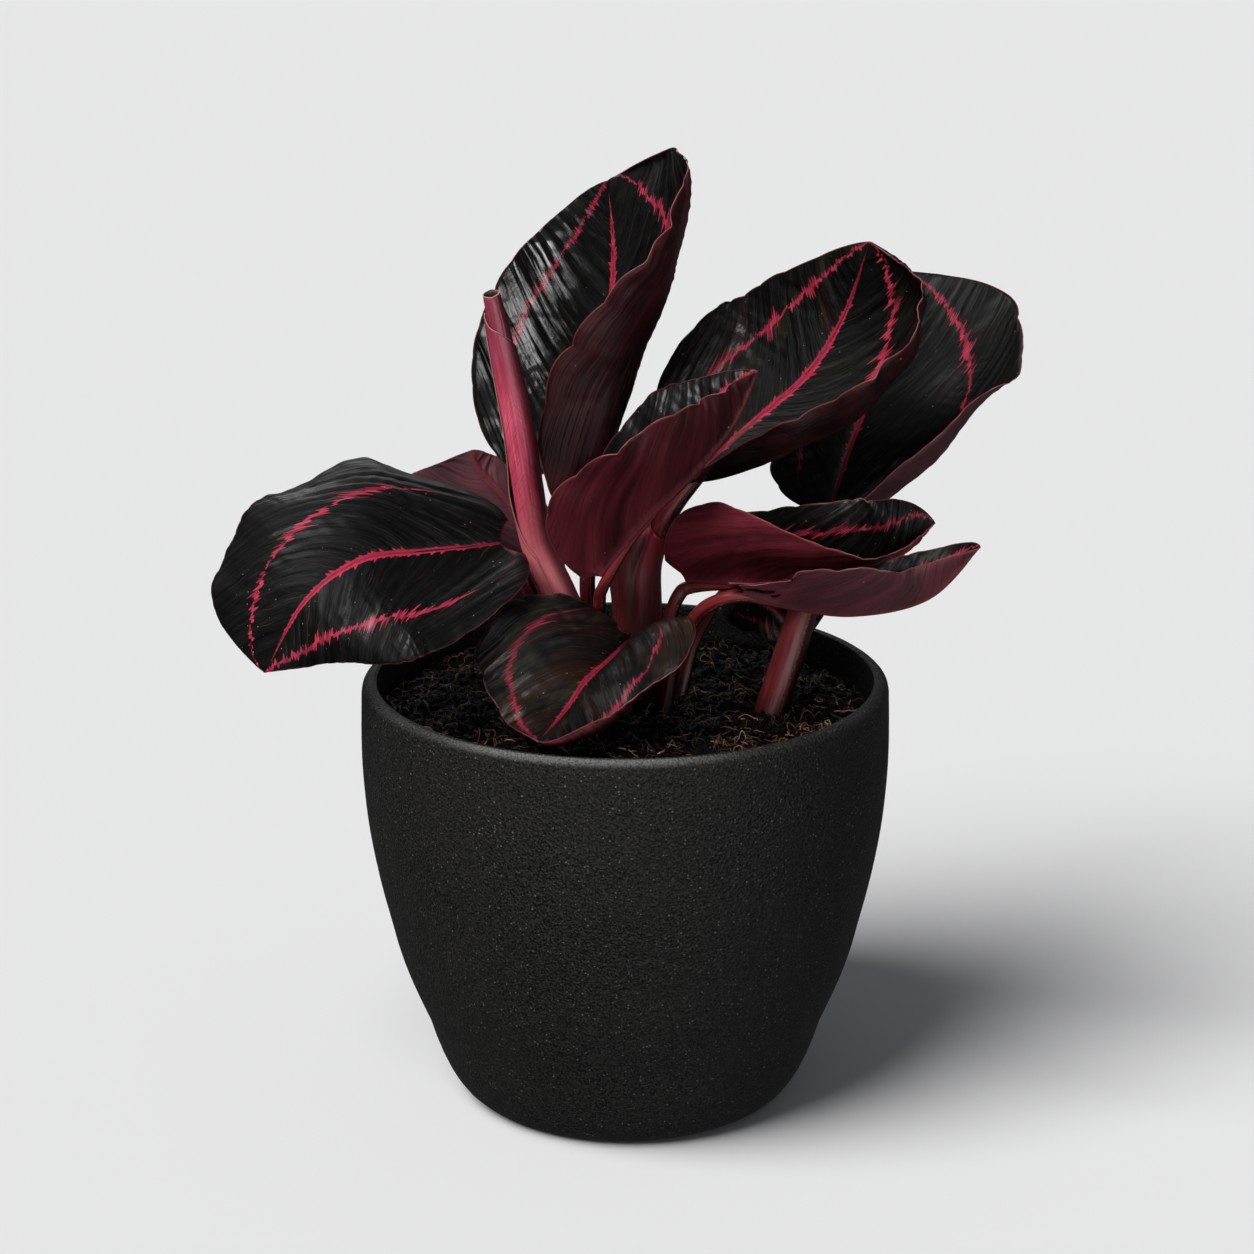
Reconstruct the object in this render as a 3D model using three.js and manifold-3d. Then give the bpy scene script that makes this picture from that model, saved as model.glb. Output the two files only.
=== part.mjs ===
// Potted dottie calathea: a foliage plant with ten open leaves and one new leaf still rolled up,
// rooted in soil in a round matt black pot.
// Lengths are in millimetres and angles in degrees. +Z is up, +X is right and +Y is the back.
// The origin is the centre of the pot's flat base, on the surface it stands on.

import * as THREE from 'three';
import { mergeVertices } from 'three/addons/utils/BufferGeometryUtils.js';
import Module from 'manifold-3d';

// Driving dimensions

const gap = 0.3;              // clearance between neighbouring pieces
const bladeThickness = 0.6;
const rowsAlongBlade = 15;
const stalkDepth = 25;        // how far each stalk reaches below the soil's surface

const pot = { height: 149, baseRadius: 52, rimRadius: 85, floor: 6, segments: 48 };
const potOutside = [[69, 27], [75.3, 42], [81.7, 64], [87, 88], [90, 115], [90.3, 134], [90, 145]];
const potInside = [[84.8, 132], [84.6, 115], [81.6, 88], [76.2, 64], [69.6, 42], [58, 18]];

const soil = { level: 137, mound: 3, relief: 1.3, rings: 9, segments: 40 };

const colours = {
  pot: '#1b1b1c',
  soil: '#2a1d15',
  blade: '#232a29',
  stalk: '#6e2330',
  rolled: '#b23a5d',
  sheath: '#6a1c2b',
};

// The leaves
//
// Each leaf has a midrib, as points from where the stalk joins to the tip, and a list `up` of the way
// its upper face looks along the midrib. Its two halves are named as seen from the stalk, face up:
//   width    from the midrib to the margin at the widest place
//   widest   where that is, from 0 at the stalk to 1 at the tip
//   lobe     width at the base, as a share of the full width
//   point    how the half narrows to the tip: below 1 is blunt, above 1 is drawn out
//   back     how far the base lobe reaches behind the stalk's joint
//   sweep    how far the side veins run forward, as a share of the leaf's length
//   bend     how steeply the half rises at the midrib, half way and at the margin, in three rows
//            for the base, the middle and the tip
//   wave     height, number and phase of the waves along the margin
// The stalk has points from the leaf down into the soil, and its radius at its top and bottom.

const leaves = {
  left_leaf: {
    midrib: [[-42, -5, 197], [-67, -18, 198], [-87, -29, 198], [-105, -36, 186], [-119, -35, 161]],
    up: [[-0.3, -0.7, 0.6], [-0.1, -0.8, 0.6], [0.1, -0.7, 0.7]],
    left: {
      width: 42, widest: 0.4, lobe: 0.18, point: 1.2, back: 6, sweep: 0.09,
      bend: [[-5, 30, 20], [0, 10, -10], [10, 0, -30]], wave: [0.8, 3, 0.2],
    },
    right: {
      width: 47, widest: 0.43, lobe: 0.23, point: 0.44, back: 7, sweep: 0.09,
      bend: [[20, 0, -55], [10, -20, -45], [5, -15, -15]], wave: [2.2, 3, 0.5],
    },
    stalk: { path: [[-35, -2, 185], [-26, 1, 160], [-20, 3, 137]], top: 2.2, bottom: 2.8 },
  },
  back_left_leaf: {
    midrib: [[-25, 19, 174], [-32, 19, 191], [-41, 22, 205], [-50, 26, 214], [-53, 28, 221]],
    up: [[0, 0.9, 0.4], [-0.2, 1, 0], [-0.2, 0.9, -0.4]],
    left: {
      width: 11, widest: 0.4, lobe: 0.25, point: 0.7, back: 0, sweep: 0.1,
      bend: [[0, 0, 15], [0, 5, 10], [0, 10, 10]], wave: [0.5, 3, 0],
    },
    right: {
      width: 31, widest: 0.55, lobe: 0.34, point: 0.35, back: 3, sweep: 0.14,
      bend: [[5, 10, 15], [5, -10, 10], [5, 0, 10]], wave: [0.5, 3, 0],
    },
    stalk: { path: [[-21, 17, 163], [-16, 17, 150], [-14, 16, 137]], top: 1.9, bottom: 2.6 },
  },
  tall_leaf: {
    midrib: [[-10, -2, 224], [-7, 15, 245], [-5, 28, 267], [-4, 40, 290], [-6, 52, 310]],
    up: [[-0.6, -0.6, 0.5], [-0.2, -0.9, 0.4], [0.1, -1, 0.3]],
    columns: 5,
    left: {
      width: 48, widest: 0.32, lobe: 0.49, point: 0.77, back: 2, sweep: -0.05,
      bend: [[-35, 25, 35], [-10, 20, 15], [25, 20, 5]], wave: [1, 3, 0],
    },
    right: {
      width: 54, widest: 0.44, lobe: 0.34, point: 0.31, back: 18, sweep: 0.2,
      bend: [[-35, 150, 165], [10, 60, 125], [75, 35, 90]], wave: [1.5, 4, 0],
    },
    stalk: { path: [[-10, 3, 205], [-13, 10, 178], [-10, 18, 150], [-7, 19, 137]], top: 2.4, bottom: 3 },
  },
  folded_leaf: {
    midrib: [[-8, -25, 192], [6, -29, 211], [22, -31, 228], [35, -29, 244], [43, -26, 261]],
    up: [[-0.8, 0.3, 0.6], [-0.9, 0, 0.5], [-0.9, -0.1, 0.5]],
    left: {
      width: 31, widest: 0.45, lobe: 0.3, point: 0.8, back: 8, sweep: 0.08,
      bend: [[55, 60, 60], [55, 55, 50], [60, 50, 40]], wave: [0.6, 4, 0],
    },
    right: {
      width: 32, widest: 0.21, lobe: 0.12, point: 1, back: 5, sweep: 0.05,
      bend: [[60, 70, 75], [50, 55, 75], [50, 60, 80]], wave: [1.2, 4, 0.3],
    },
    stalk: {
      path: [[-7.5, -21, 186], [-8.5, -14, 181], [-8.5, -8, 170], [-6, -9, 155], [-6, -10, 137]],
      top: 1.9, bottom: 2.4,
    },
  },
  right_leaf: {
    midrib: [[21, 3, 217], [42, 8, 235], [61, 9, 252], [73, 7, 273], [80, -3, 299]],
    up: [[-0.4, -0.8, 0.4], [-0.2, -0.8, 0.5], [0, -0.9, 0.5]],
    columns: 5,
    left: {
      width: 40, widest: 0.35, lobe: 0.02, point: 0.82, back: 2, sweep: 0,
      bend: [[10, 10, 10], [10, 0, -5], [10, -5, -25]], wave: [1, 3, 0],
    },
    right: {
      width: 44, widest: 0.45, lobe: 0.06, point: 0.71, back: -6, sweep: 0.31,
      bend: [[-5, 45, 170], [-15, 20, 140], [-25, 10, 130]], wave: [1.5, 5, 0],
    },
    stalk: {
      path: [[14, 4, 204], [9.5, 6, 193], [6, 8, 181], [4, 10, 160], [4, 10, 137]],
      top: 3, bottom: 5.2,
    },
  },
  back_right_leaf: {
    midrib: [[69, 9, 204], [76, 20, 222], [83, 29, 239], [88, 34, 258], [91, 31, 283]],
    up: [[-0.2, -0.9, 0.4], [-0.2, -1, 0.2], [0, -1, 0]],
    columns: 5,
    left: {
      width: 29, widest: 0.42, lobe: 0.17, point: 0.76, back: 0, sweep: -0.12,
      bend: [[-5, -20, -10], [5, -10, -10], [15, 5, -10]], wave: [1, 3, 0],
    },
    right: {
      width: 55, widest: 0.41, lobe: 0.16, point: 0.57, back: 0, sweep: 0.27,
      bend: [[25, 10, 160], [20, 15, 70], [0, -10, -15]], wave: [1.5, 3, 0.3],
    },
    stalk: { path: [[66.5, 10, 193], [59, 0, 167], [49, -8, 137]], top: 4, bottom: 5.8 },
  },
  low_right_leaf: {
    midrib: [[21, -3, 184], [44, -14, 186], [66, -20, 190], [88, -20, 196], [103, -15, 207]],
    up: [[0.2, -0.2, 1], [0.3, -0.4, 0.9], [0.2, -0.7, 0.7], [0, -0.8, 0.6]],
    left: {
      width: 26, widest: 0.51, lobe: 0.69, point: 0.52, back: -1, sweep: 0.1,
      bend: [[65, 85, 50], [50, 65, 35], [35, 40, 20]], wave: [0.8, 3, 0],
    },
    right: {
      width: 35, widest: 0.22, lobe: 0.2, point: 1.5, back: 7, sweep: 0.09,
      bend: [[70, 70, 115], [65, 60, 110], [70, 70, 115]], wave: [1, 3, 0],
    },
    stalk: {
      path: [[18, -4.5, 178.5], [15, -5, 170], [13, -5, 158], [12, -5, 137]],
      top: 2.3, bottom: 2.5,
    },
  },
  boat_leaf: {
    midrib: [[39, -34, 189], [54, -33, 184], [75, -39, 183], [98, -45, 190], [114, -52, 209]],
    up: [[-0.5, -0.5, 0.7], [-0.1, -0.2, 1], [0.3, 0, 0.9]],
    left: {
      width: 16, widest: 0.66, lobe: 0.02, point: 0.6, back: 6, sweep: 0.03,
      bend: [[85, 130, 25], [75, 100, 45], [50, 45, 70]], wave: [0.8, 3, 0],
    },
    right: {
      width: 28, widest: 0.41, lobe: 0.2, point: 1.34, back: 3, sweep: 0.06,
      bend: [[80, 65, 65], [60, 50, 70], [40, 30, 70]], wave: [0.6, 4, 0],
    },
    stalk: {
      path: [[31, -30, 184.5], [24, -21, 176.5], [17, -13, 160], [13, -13, 137]],
      top: 2.3, bottom: 2.6,
    },
  },
  small_leaf: {
    midrib: [[39, 26, 172], [45, 29, 168], [51, 32, 164], [57, 33, 158], [64, 33, 152]],
    up: [[-0.3, -0.9, 0.1], [-0.3, -0.9, 0.1], [-0.2, -1, 0.2]],
    left: {
      width: 18, widest: 0.6, lobe: 0.28, point: 0.6, back: 6, sweep: 0.17,
      bend: [[30, 50, 15], [20, 30, 5], [5, 5, -5]], wave: [0.5, 3, 0],
    },
    right: {
      width: 13, widest: 0.38, lobe: 0.28, point: 0.86, back: 5, sweep: 0.02,
      bend: [[15, 15, 15], [5, 5, 5], [0, -5, 0]], wave: [0.5, 3, 0],
    },
    stalk: { path: [[33, 29, 168], [24, 17, 155], [19, 9, 137]], top: 1.7, bottom: 2.2 },
  },
  front_leaf: {
    midrib: [[2, -12, 166], [-5, -26, 163], [-13, -38, 159], [-20, -49, 152], [-28, -64, 147]],
    up: [[0, -0.5, 0.9], [-0.1, -0.6, 0.8], [-0.4, -0.7, 0.6]],
    left: {
      width: 32, widest: 0.3, lobe: 0.12, point: 0.5, back: 4, sweep: -0.1,
      bend: [[50, 55, 10], [32, 10, 50], [10, -60, 170]], wave: [1, 2, 0],
    },
    right: {
      width: 39, widest: 0.48, lobe: 0.12, point: 1, back: -3, sweep: 0.05,
      bend: [[35, 50, 10], [15, 15, 10], [-5, -5, 15]], wave: [1.3, 3, 0],
    },
    stalk: { path: [[1, -11, 152], [1, -11, 137]], top: 1.9, bottom: 2.4 },
  },
};

// The new leaf is rolled round itself into a tube, its outer margin a low step down the tube.
const rolled = {
  path: [
    [-43.8, -14, 284.8], [-39.1, -14, 261.6], [-34.9, -12, 237.9], [-32.1, -7, 215.1],
    [-29.4, -2, 195.6], [-22, -0.5, 178], [-14, -2, 158], [-10, -2, 137],
  ],
  radius: [3.1, 4.3, 4.8, 4.9, 5.1, 5.3, 5.4, 5.3],
  step: 0.55,
  seam: 200,
  hollow: 12,
  shell: 0.9,
  sides: 14,
};

// The sheath wraps the right leaf's stalk, widens half way up and ends in a slanting point on its left.
const sheath = {
  path: [[4, 10, 123], [4, 10, 150], [4, 9.5, 170], [4.2, 8.5, 184], [7.5, 6.5, 195], [11, 5, 206]],
  radius: [8.2, 8.2, 8.6, 9.6, 8.6, 6.5],
  thick: 1.2,
  thin: 0.7,
  low: 182,
  slant: 1.3,
  sides: 16,
  rows: 9,
};

// Curves and vectors

const radians = THREE.MathUtils.degToRad;
const clamp = THREE.MathUtils.clamp;

function vector(numbers) {
  return new THREE.Vector3(...numbers);
}

// The smooth curve through a list of points, or of plain number rows, at t from 0 to 1.
function through(rows, t) {
  const last = rows.length - 1;
  const i = Math.min(Math.floor(clamp(t, 0, 1) * last), last - 1);
  const f = clamp(t, 0, 1) * last - i;
  return rows[0].map((_, k) => {
    const p1 = rows[i][k];
    const p2 = rows[i + 1][k];
    const p0 = i > 0 ? rows[i - 1][k] : 2 * p1 - p2;
    const p3 = i + 2 <= last ? rows[i + 2][k] : 2 * p2 - p1;
    const b = (p2 - p0) * f;
    const c = (2 * p0 - 5 * p1 + 4 * p2 - p3) * f * f;
    const d = (3 * p1 - p0 - 3 * p2 + p3) * f * f * f;
    return 0.5 * (2 * p1 + b + c + d);
  });
}

function direction(rows, t) {
  const step = 1e-3;
  const before = vector(through(rows, t - step));
  return vector(through(rows, t + step)).sub(before).normalize();
}

function lengthOf(rows) {
  let length = 0;
  for (let i = 0; i < 40; i += 1) {
    length += vector(through(rows, i / 40)).distanceTo(vector(through(rows, (i + 1) / 40)));
  }
  return length;
}

// Closed solids from points and triangles

function solidGeometry(points, triangles) {
  const geometry = new THREE.BufferGeometry();
  const numbers = points.flatMap((p) => [p.x, p.y, p.z]);
  geometry.setAttribute('position', new THREE.Float32BufferAttribute(numbers, 3));
  geometry.setIndex(triangles.flat());
  geometry.computeVertexNormals();
  return geometry;
}

// An open sheet of triangles becomes a plate: both faces, and a wall along each free edge.
function thicken(points, triangles, thickness) {
  const sheet = solidGeometry(points, triangles);
  const normals = sheet.getAttribute('normal');
  const offset = (side) => points.map((p, i) => {
    const normal = new THREE.Vector3().fromBufferAttribute(normals, i);
    return p.clone().addScaledVector(normal, side * thickness / 2);
  });
  const count = points.length;
  const below = triangles.map(([a, b, c]) => [a + count, c + count, b + count]);
  const used = new Set(triangles.flatMap(([a, b, c]) => [`${a},${b}`, `${b},${c}`, `${c},${a}`]));
  const walls = [];
  for (const edge of used) {
    const [a, b] = edge.split(',').map(Number);
    if (!used.has(`${b},${a}`)) {
      walls.push([b, a, a + count], [b, a + count, b + count]);
    }
  }
  return solidGeometry([...offset(1), ...offset(-1)], [...triangles, ...below, ...walls]);
}

// A closed skin over rings of points, with a flat cap on the first and the last ring.
function skin(rings) {
  const sides = rings[0].length;
  const triangles = [];
  for (let i = 0; i + 1 < rings.length; i += 1) {
    for (let j = 0; j < sides; j += 1) {
      const a = i * sides + j;
      const b = i * sides + (j + 1) % sides;
      triangles.push([a, b, b + sides], [a, b + sides, a + sides]);
    }
  }
  const top = (rings.length - 1) * sides;
  for (let j = 1; j + 1 < sides; j += 1) {
    triangles.push([0, j + 1, j], [top, top + j, top + j + 1]);
  }
  return solidGeometry(rings.flat(), triangles);
}

// Rings of points round a path, at `count` places, with a radius for each place and angle.
function ringsAlong(path, count, sides, radiusAt) {
  const rings = [];
  for (let i = 0; i < count; i += 1) {
    const t = i / (count - 1);
    const centre = vector(through(path, t));
    const along = direction(path, t);
    const across = new THREE.Vector3(0, 1, 0).cross(along).normalize();
    const third = along.clone().cross(across);
    rings.push(Array.from({ length: sides }, (_, j) => {
      const angle = 2 * Math.PI * j / sides;
      const radius = radiusAt(t, 360 * j / sides);
      const point = centre.clone().addScaledVector(across, radius * Math.cos(angle));
      return point.addScaledVector(third, radius * Math.sin(angle));
    }));
  }
  return rings;
}

// Joining and cutting of closed solids

const manifold = await Module();
manifold.setup();

function toManifold(geometry) {
  const bare = geometry.clone();
  bare.deleteAttribute('normal');
  bare.deleteAttribute('uv');
  const merged = mergeVertices(bare, 1e-4);
  return new manifold.Manifold(new manifold.Mesh({
    numProp: 3,
    vertProperties: Float32Array.from(merged.getAttribute('position').array),
    triVerts: Uint32Array.from(merged.getIndex().array),
  }));
}

function fromManifold(solid) {
  const mesh = solid.getMesh();
  const geometry = new THREE.BufferGeometry();
  geometry.setAttribute('position', new THREE.Float32BufferAttribute(mesh.vertProperties, 3));
  geometry.setIndex(Array.from(mesh.triVerts));
  geometry.computeVertexNormals();
  return geometry;
}

// Leaf blades

// Width of one half of a blade at t.
function halfWidth(half, t) {
  if (t < half.widest) {
    const rise = Math.sqrt(1 - (1 - t / half.widest) ** 2);
    return half.width * (half.lobe + (1 - half.lobe) * rise);
  }
  const rest = (t - half.widest) / (1 - half.widest);
  return half.width * (1 - rest ** 2) ** half.point;
}

// Where a half's cross section reaches, q of the way from the midrib to the margin, for unit width,
// and how steep it is there. Its angle turns evenly from each of the three bends to the next.
function crossSection(bends, q) {
  let across = 0;
  let rise = 0;
  let angle = radians(bends[0]);
  const share = 1 / (bends.length - 1);
  for (let k = 0; k + 1 < bends.length; k += 1) {
    const from = radians(bends[k]);
    const turn = radians(bends[k + 1]) - from || 1e-6;
    const f = clamp(q / share - k, 0, 1);
    across += share * (Math.sin(from + turn * f) - Math.sin(from)) / turn;
    rise += share * (Math.cos(from) - Math.cos(from + turn * f)) / turn;
    if (f > 0) {
      angle = from + turn * f;
    }
  }
  return { across, rise, angle };
}

// The blade's frame at t: the midrib's point, its direction, and the ways right and up.
function frameAt(leaf, t) {
  const along = direction(leaf.midrib, clamp(t, 0, 1));
  const right = along.clone().cross(vector(through(leaf.up, t))).normalize();
  const up = right.clone().cross(along);
  const point = vector(through(leaf.midrib, t));
  point.addScaledVector(along, Math.min(t, 0) * leaf.length);
  return { point, along, right, up };
}

// A point of the blade, t along, q from midrib to margin, side -1 on the left and 1 on the right.
function bladePoint(leaf, t, q, side) {
  const half = side > 0 ? leaf.right : leaf.left;
  const forward = half.sweep * 4 * t * (1 - t) - half.back / leaf.length * (1 - t) ** 4;
  const frame = frameAt(leaf, Math.min(t + forward * q ** 1.5, 1));
  const width = halfWidth(half, t);
  const { across, rise, angle } = crossSection(through(half.bend, t), q);
  const [height, number, phase] = half.wave;
  const fade = Math.min(1, 6 * t, 5 * (1 - t));
  const wave = height * fade * q ** 2.5 * Math.sin(2 * Math.PI * (number * t + phase));
  const sideways = side * (width * across - wave * Math.sin(angle));
  const upward = width * rise + wave * Math.cos(angle);
  return frame.point.addScaledVector(frame.right, sideways).addScaledVector(frame.up, upward);
}

// The blade as a waved plate of even thickness, its rows closer together near base and tip.
function bladeGeometry(leaf) {
  const columns = leaf.columns ?? 4;
  const wide = 2 * columns + 1;
  const points = [];
  const triangles = [];
  for (let i = 0; i < rowsAlongBlade; i += 1) {
    const even = i / rowsAlongBlade;
    const t = (even + (1 - Math.cos(Math.PI * even)) / 2) / 2;
    for (let j = -columns; j <= columns; j += 1) {
      points.push(bladePoint(leaf, t, Math.abs(j) / columns, Math.sign(j)));
    }
  }
  const tip = points.length;
  points.push(bladePoint(leaf, 1, 0, 1));
  for (let i = 0; i < rowsAlongBlade; i += 1) {
    for (let j = 0; j + 1 < wide; j += 1) {
      const a = i * wide + j;
      if (i + 1 === rowsAlongBlade) {
        triangles.push([a, a + 1, tip]);
      } else if (j < columns) {
        triangles.push([a, a + 1, a + wide + 1], [a, a + wide + 1, a + wide]);
      } else {
        triangles.push([a, a + 1, a + wide], [a + 1, a + wide + 1, a + wide]);
      }
    }
  }
  return thicken(points, triangles, bladeThickness);
}

// Leaf stalks

// A stalk's path: its seat under the base of the midrib, its own points, and its end in the soil.
function stalkPath(leaf) {
  const { path, top } = leaf.stalk;
  const { point, along, up } = frameAt(leaf, 0);
  const seat = point.addScaledVector(along, 1).addScaledVector(up, -(top + bladeThickness / 2 + gap));
  const foot = vector(path.at(-1));
  const below = foot.clone().sub(vector(path.at(-2))).setLength(stalkDepth);
  return [seat.toArray(), ...path, foot.add(below).toArray()];
}

function stalkRings(leaf, extra = 0) {
  const { top, bottom } = leaf.stalk;
  const radius = (t) => extra + top + (bottom - top) * Math.min(1, 1.3 * t);
  return ringsAlong(stalkPath(leaf), 11, 8, radius);
}

// The rolled new leaf

function rolledRadius(t, angle, extra) {
  const round = through(rolled.radius.map((r) => [r]), t)[0];
  const turn = ((angle - rolled.seam + 360) % 360) / 360;
  return round + rolled.step * turn + extra;
}

function rolledPath() {
  const foot = vector(rolled.path.at(-1));
  const below = foot.clone().sub(vector(rolled.path.at(-2))).setLength(stalkDepth);
  return [...rolled.path, foot.add(below).toArray()];
}

// The tube is open at its top: the skin turns in at the rim and runs down to the hollow's floor.
function rolledGeometry() {
  const path = rolledPath();
  const hollowShare = rolled.hollow / lengthOf(path);
  const outside = ringsAlong(path, 12, rolled.sides, (t, angle) => rolledRadius(t, angle, 0));
  const lining = ringsAlong(path, 101, rolled.sides, (t, angle) => rolledRadius(t, angle, -rolled.shell));
  return skin([lining[Math.round(100 * hollowShare)], lining[0], ...outside]);
}

// The sheath

// One ring for each row; towards the top the rings tilt, so that the sheath ends low on its right
// and in a point on its left. Its wall thins towards the top.
function sheathGeometry() {
  const [foot, tip] = [sheath.path[0][2], sheath.path.at(-1)[2]];
  const outer = [];
  const inner = [];
  for (let i = 0; i <= sheath.rows; i += 1) {
    const rings = [[], []];
    for (let j = 0; j < sheath.sides; j += 1) {
      const angle = 2 * Math.PI * j / sheath.sides;
      const left = ((1 - Math.cos(angle)) / 2) ** sheath.slant;
      const top = sheath.low + (tip - sheath.low) * left;
      const z = foot + (top - foot) * i / sheath.rows;
      const t = shareAtHeight(sheath.path, z);
      const centre = vector(through(sheath.path, t));
      const radius = through(sheath.radius.map((r) => [r]), t)[0];
      const wall = sheath.thick + (sheath.thin - sheath.thick) * i / sheath.rows;
      rings.forEach((ring, k) => {
        const reach = radius - k * wall;
        ring.push(new THREE.Vector3(
          centre.x + reach * Math.cos(angle),
          centre.y + reach * Math.sin(angle),
          z,
        ));
      });
    }
    outer.push(rings[0]);
    inner.push(rings[1]);
  }
  return closedRings([...outer, ...inner.reverse()]);
}

// Rings joined in a closed loop, the last to the first again.
function closedRings(rings) {
  const sides = rings[0].length;
  const triangles = [];
  rings.forEach((_, i) => {
    const next = (i + 1) % rings.length;
    for (let j = 0; j < sides; j += 1) {
      const k = (j + 1) % sides;
      const [a, b] = [i * sides + j, i * sides + k];
      const [c, d] = [next * sides + k, next * sides + j];
      triangles.push([a, b, c], [a, c, d]);
    }
  });
  return solidGeometry(rings.flat(), triangles);
}

// How far along a rising path its height is z.
function shareAtHeight(path, z) {
  let low = 0;
  let high = 1;
  for (let i = 0; i < 30; i += 1) {
    const middle = (low + high) / 2;
    if (through(path, middle)[2] < z) {
      low = middle;
    } else {
      high = middle;
    }
  }
  return low;
}

// The pot

function turned(profile, segments) {
  const points = profile.map(([radius, z]) => new THREE.Vector2(radius, z));
  return new THREE.LatheGeometry(points, segments).rotateX(Math.PI / 2);
}

function curveThrough(rows, count) {
  return Array.from({ length: count + 1 }, (_, i) => through(rows, i / count));
}

function potGeometry() {
  const { height, baseRadius, rimRadius, floor } = pot;
  const corner = new THREE.QuadraticBezierCurve(
    new THREE.Vector2(baseRadius, 0),
    new THREE.Vector2(baseRadius + 9.5, 0),
    new THREE.Vector2(...potOutside[0]),
  );
  const foot = corner.getPoints(3).slice(0, -1).map((p) => [p.x, p.y]);
  return turned([
    [0, 0],
    ...foot,
    ...curveThrough(potOutside, 7),
    [89.4, height - 1.8],
    [87.9, height - 0.5],
    [rimRadius + 0.8, height],
    [rimRadius, height - 0.6],
    ...curveThrough(potInside, 4),
    [46, floor],
    [0, floor],
  ], pot.segments);
}

// The soil

// Height of the soil: a low mound with uneven lumps that fade out at the pot's wall.
function soilHeight(radius, angle, edge) {
  const out = radius / edge;
  const x = radius * Math.cos(angle);
  const y = radius * Math.sin(angle);
  const lumps = Math.sin(0.19 * x + 1.1 * Math.sin(0.11 * y)) + Math.cos(0.23 * y + Math.sin(0.13 * x));
  const grit = Math.sin(0.61 * x + 0.37 * y) * Math.cos(0.53 * y - 0.29 * x);
  const fade = 1 - out ** 6;
  return soil.level + soil.mound * (1 - out ** 2) + soil.relief * fade * (0.5 * lumps + 0.6 * grit);
}

// The whole filling of the pot, from its floor to the soil's surface, with a plain hole for each stalk.
function soilGeometry(holes) {
  const wall = curveThrough(potInside, 4).filter(([, z]) => z < soil.level - 4);
  const edge = wall[0][0] - 2 * gap;
  const floor = pot.floor + gap;
  const points = [new THREE.Vector3(0, 0, soilHeight(0, 0, edge))];
  const ring = (radius, height) => {
    for (let j = 0; j < soil.segments; j += 1) {
      const angle = 2 * Math.PI * j / soil.segments;
      points.push(new THREE.Vector3(
        radius * Math.cos(angle),
        radius * Math.sin(angle),
        height(radius, angle),
      ));
    }
  };
  for (let i = 1; i <= soil.rings; i += 1) {
    ring(edge * i / soil.rings, (radius, angle) => soilHeight(radius, angle, edge));
  }
  wall.forEach(([radius, z]) => ring(radius - 2 * gap, () => z));
  ring(46 - gap, () => floor);
  const rows = soil.rings + wall.length + 1;
  const triangles = [];
  const at = (i, j) => 1 + (i - 1) * soil.segments + j % soil.segments;
  const bottom = points.length;
  points.push(new THREE.Vector3(0, 0, floor));
  for (let j = 0; j < soil.segments; j += 1) {
    triangles.push([0, at(1, j), at(1, j + 1)], [bottom, at(rows, j + 1), at(rows, j)]);
    for (let i = 1; i < rows; i += 1) {
      triangles.push([at(i, j), at(i + 1, j), at(i + 1, j + 1)]);
      triangles.push([at(i, j), at(i + 1, j + 1), at(i, j + 1)]);
    }
  }
  let body = toManifold(solidGeometry(points, triangles));
  for (const hole of holes) {
    body = body.subtract(toManifold(hole));
  }
  return fromManifold(body);
}

// The hole for a stalk: its own rings, a little wider, and one more ring just past its end.
function holeAround(rings) {
  const [before, end] = rings.slice(-2);
  const onward = end.map((p, i) => {
    const along = p.clone().sub(before[i]).normalize();
    return p.clone().addScaledVector(along, 2 * gap);
  });
  return skin([...rings, onward]);
}

// A plain round hole for the sheath, wide enough for it all the way down.
function sheathHole() {
  const [x, y, foot] = sheath.path[0];
  const path = [[x, y, soil.level + 12], [x, y, (soil.level + foot) / 2], [x, y, foot - 2 * gap]];
  return skin(ringsAlong(path, 4, 16, () => Math.max(...sheath.radius.slice(0, 2)) + 2 * gap));
}

// The whole plant in its pot

const plant = new THREE.Group();

function add(name, geometry, color, roughness) {
  const material = new THREE.MeshStandardMaterial({ color, roughness, metalness: 0 });
  const mesh = new THREE.Mesh(geometry, material);
  mesh.name = name;
  plant.add(mesh);
}

for (const leaf of Object.values(leaves)) {
  leaf.length = lengthOf(leaf.midrib);
}

const holes = Object.values(leaves).map((leaf) => holeAround(stalkRings(leaf, gap + 0.1)));
holes.push(sheathHole());
const widestRoll = (t) => rolledRadius(t, rolled.seam - 1, gap + 0.1);
holes.push(holeAround(ringsAlong(rolledPath(), 12, rolled.sides, widestRoll)));

add('pot', potGeometry(), colours.pot, 0.7);
add('soil', soilGeometry(holes), colours.soil, 0.95);
for (const [name, leaf] of Object.entries(leaves)) {
  add(`${name}_blade`, bladeGeometry(leaf), colours.blade, 0.4);
  add(`${name}_stalk`, skin(stalkRings(leaf)), colours.stalk, 0.45);
}
add('rolled_leaf', rolledGeometry(), colours.rolled, 0.4);
add('stalk_sheath', sheathGeometry(), colours.sheath, 0.45);

export default plant;
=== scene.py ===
# Potted dottie calathea: a foliage plant with ten open leaves and one new leaf still rolled up,
# rooted in soil in a round matt black pot. Lengths in the sections below are in millimetres, and
# angles in degrees. +Z is up, +X is right, +Y is the back, and the origin is under the pot.

import math
from collections import namedtuple
from itertools import combinations

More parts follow.
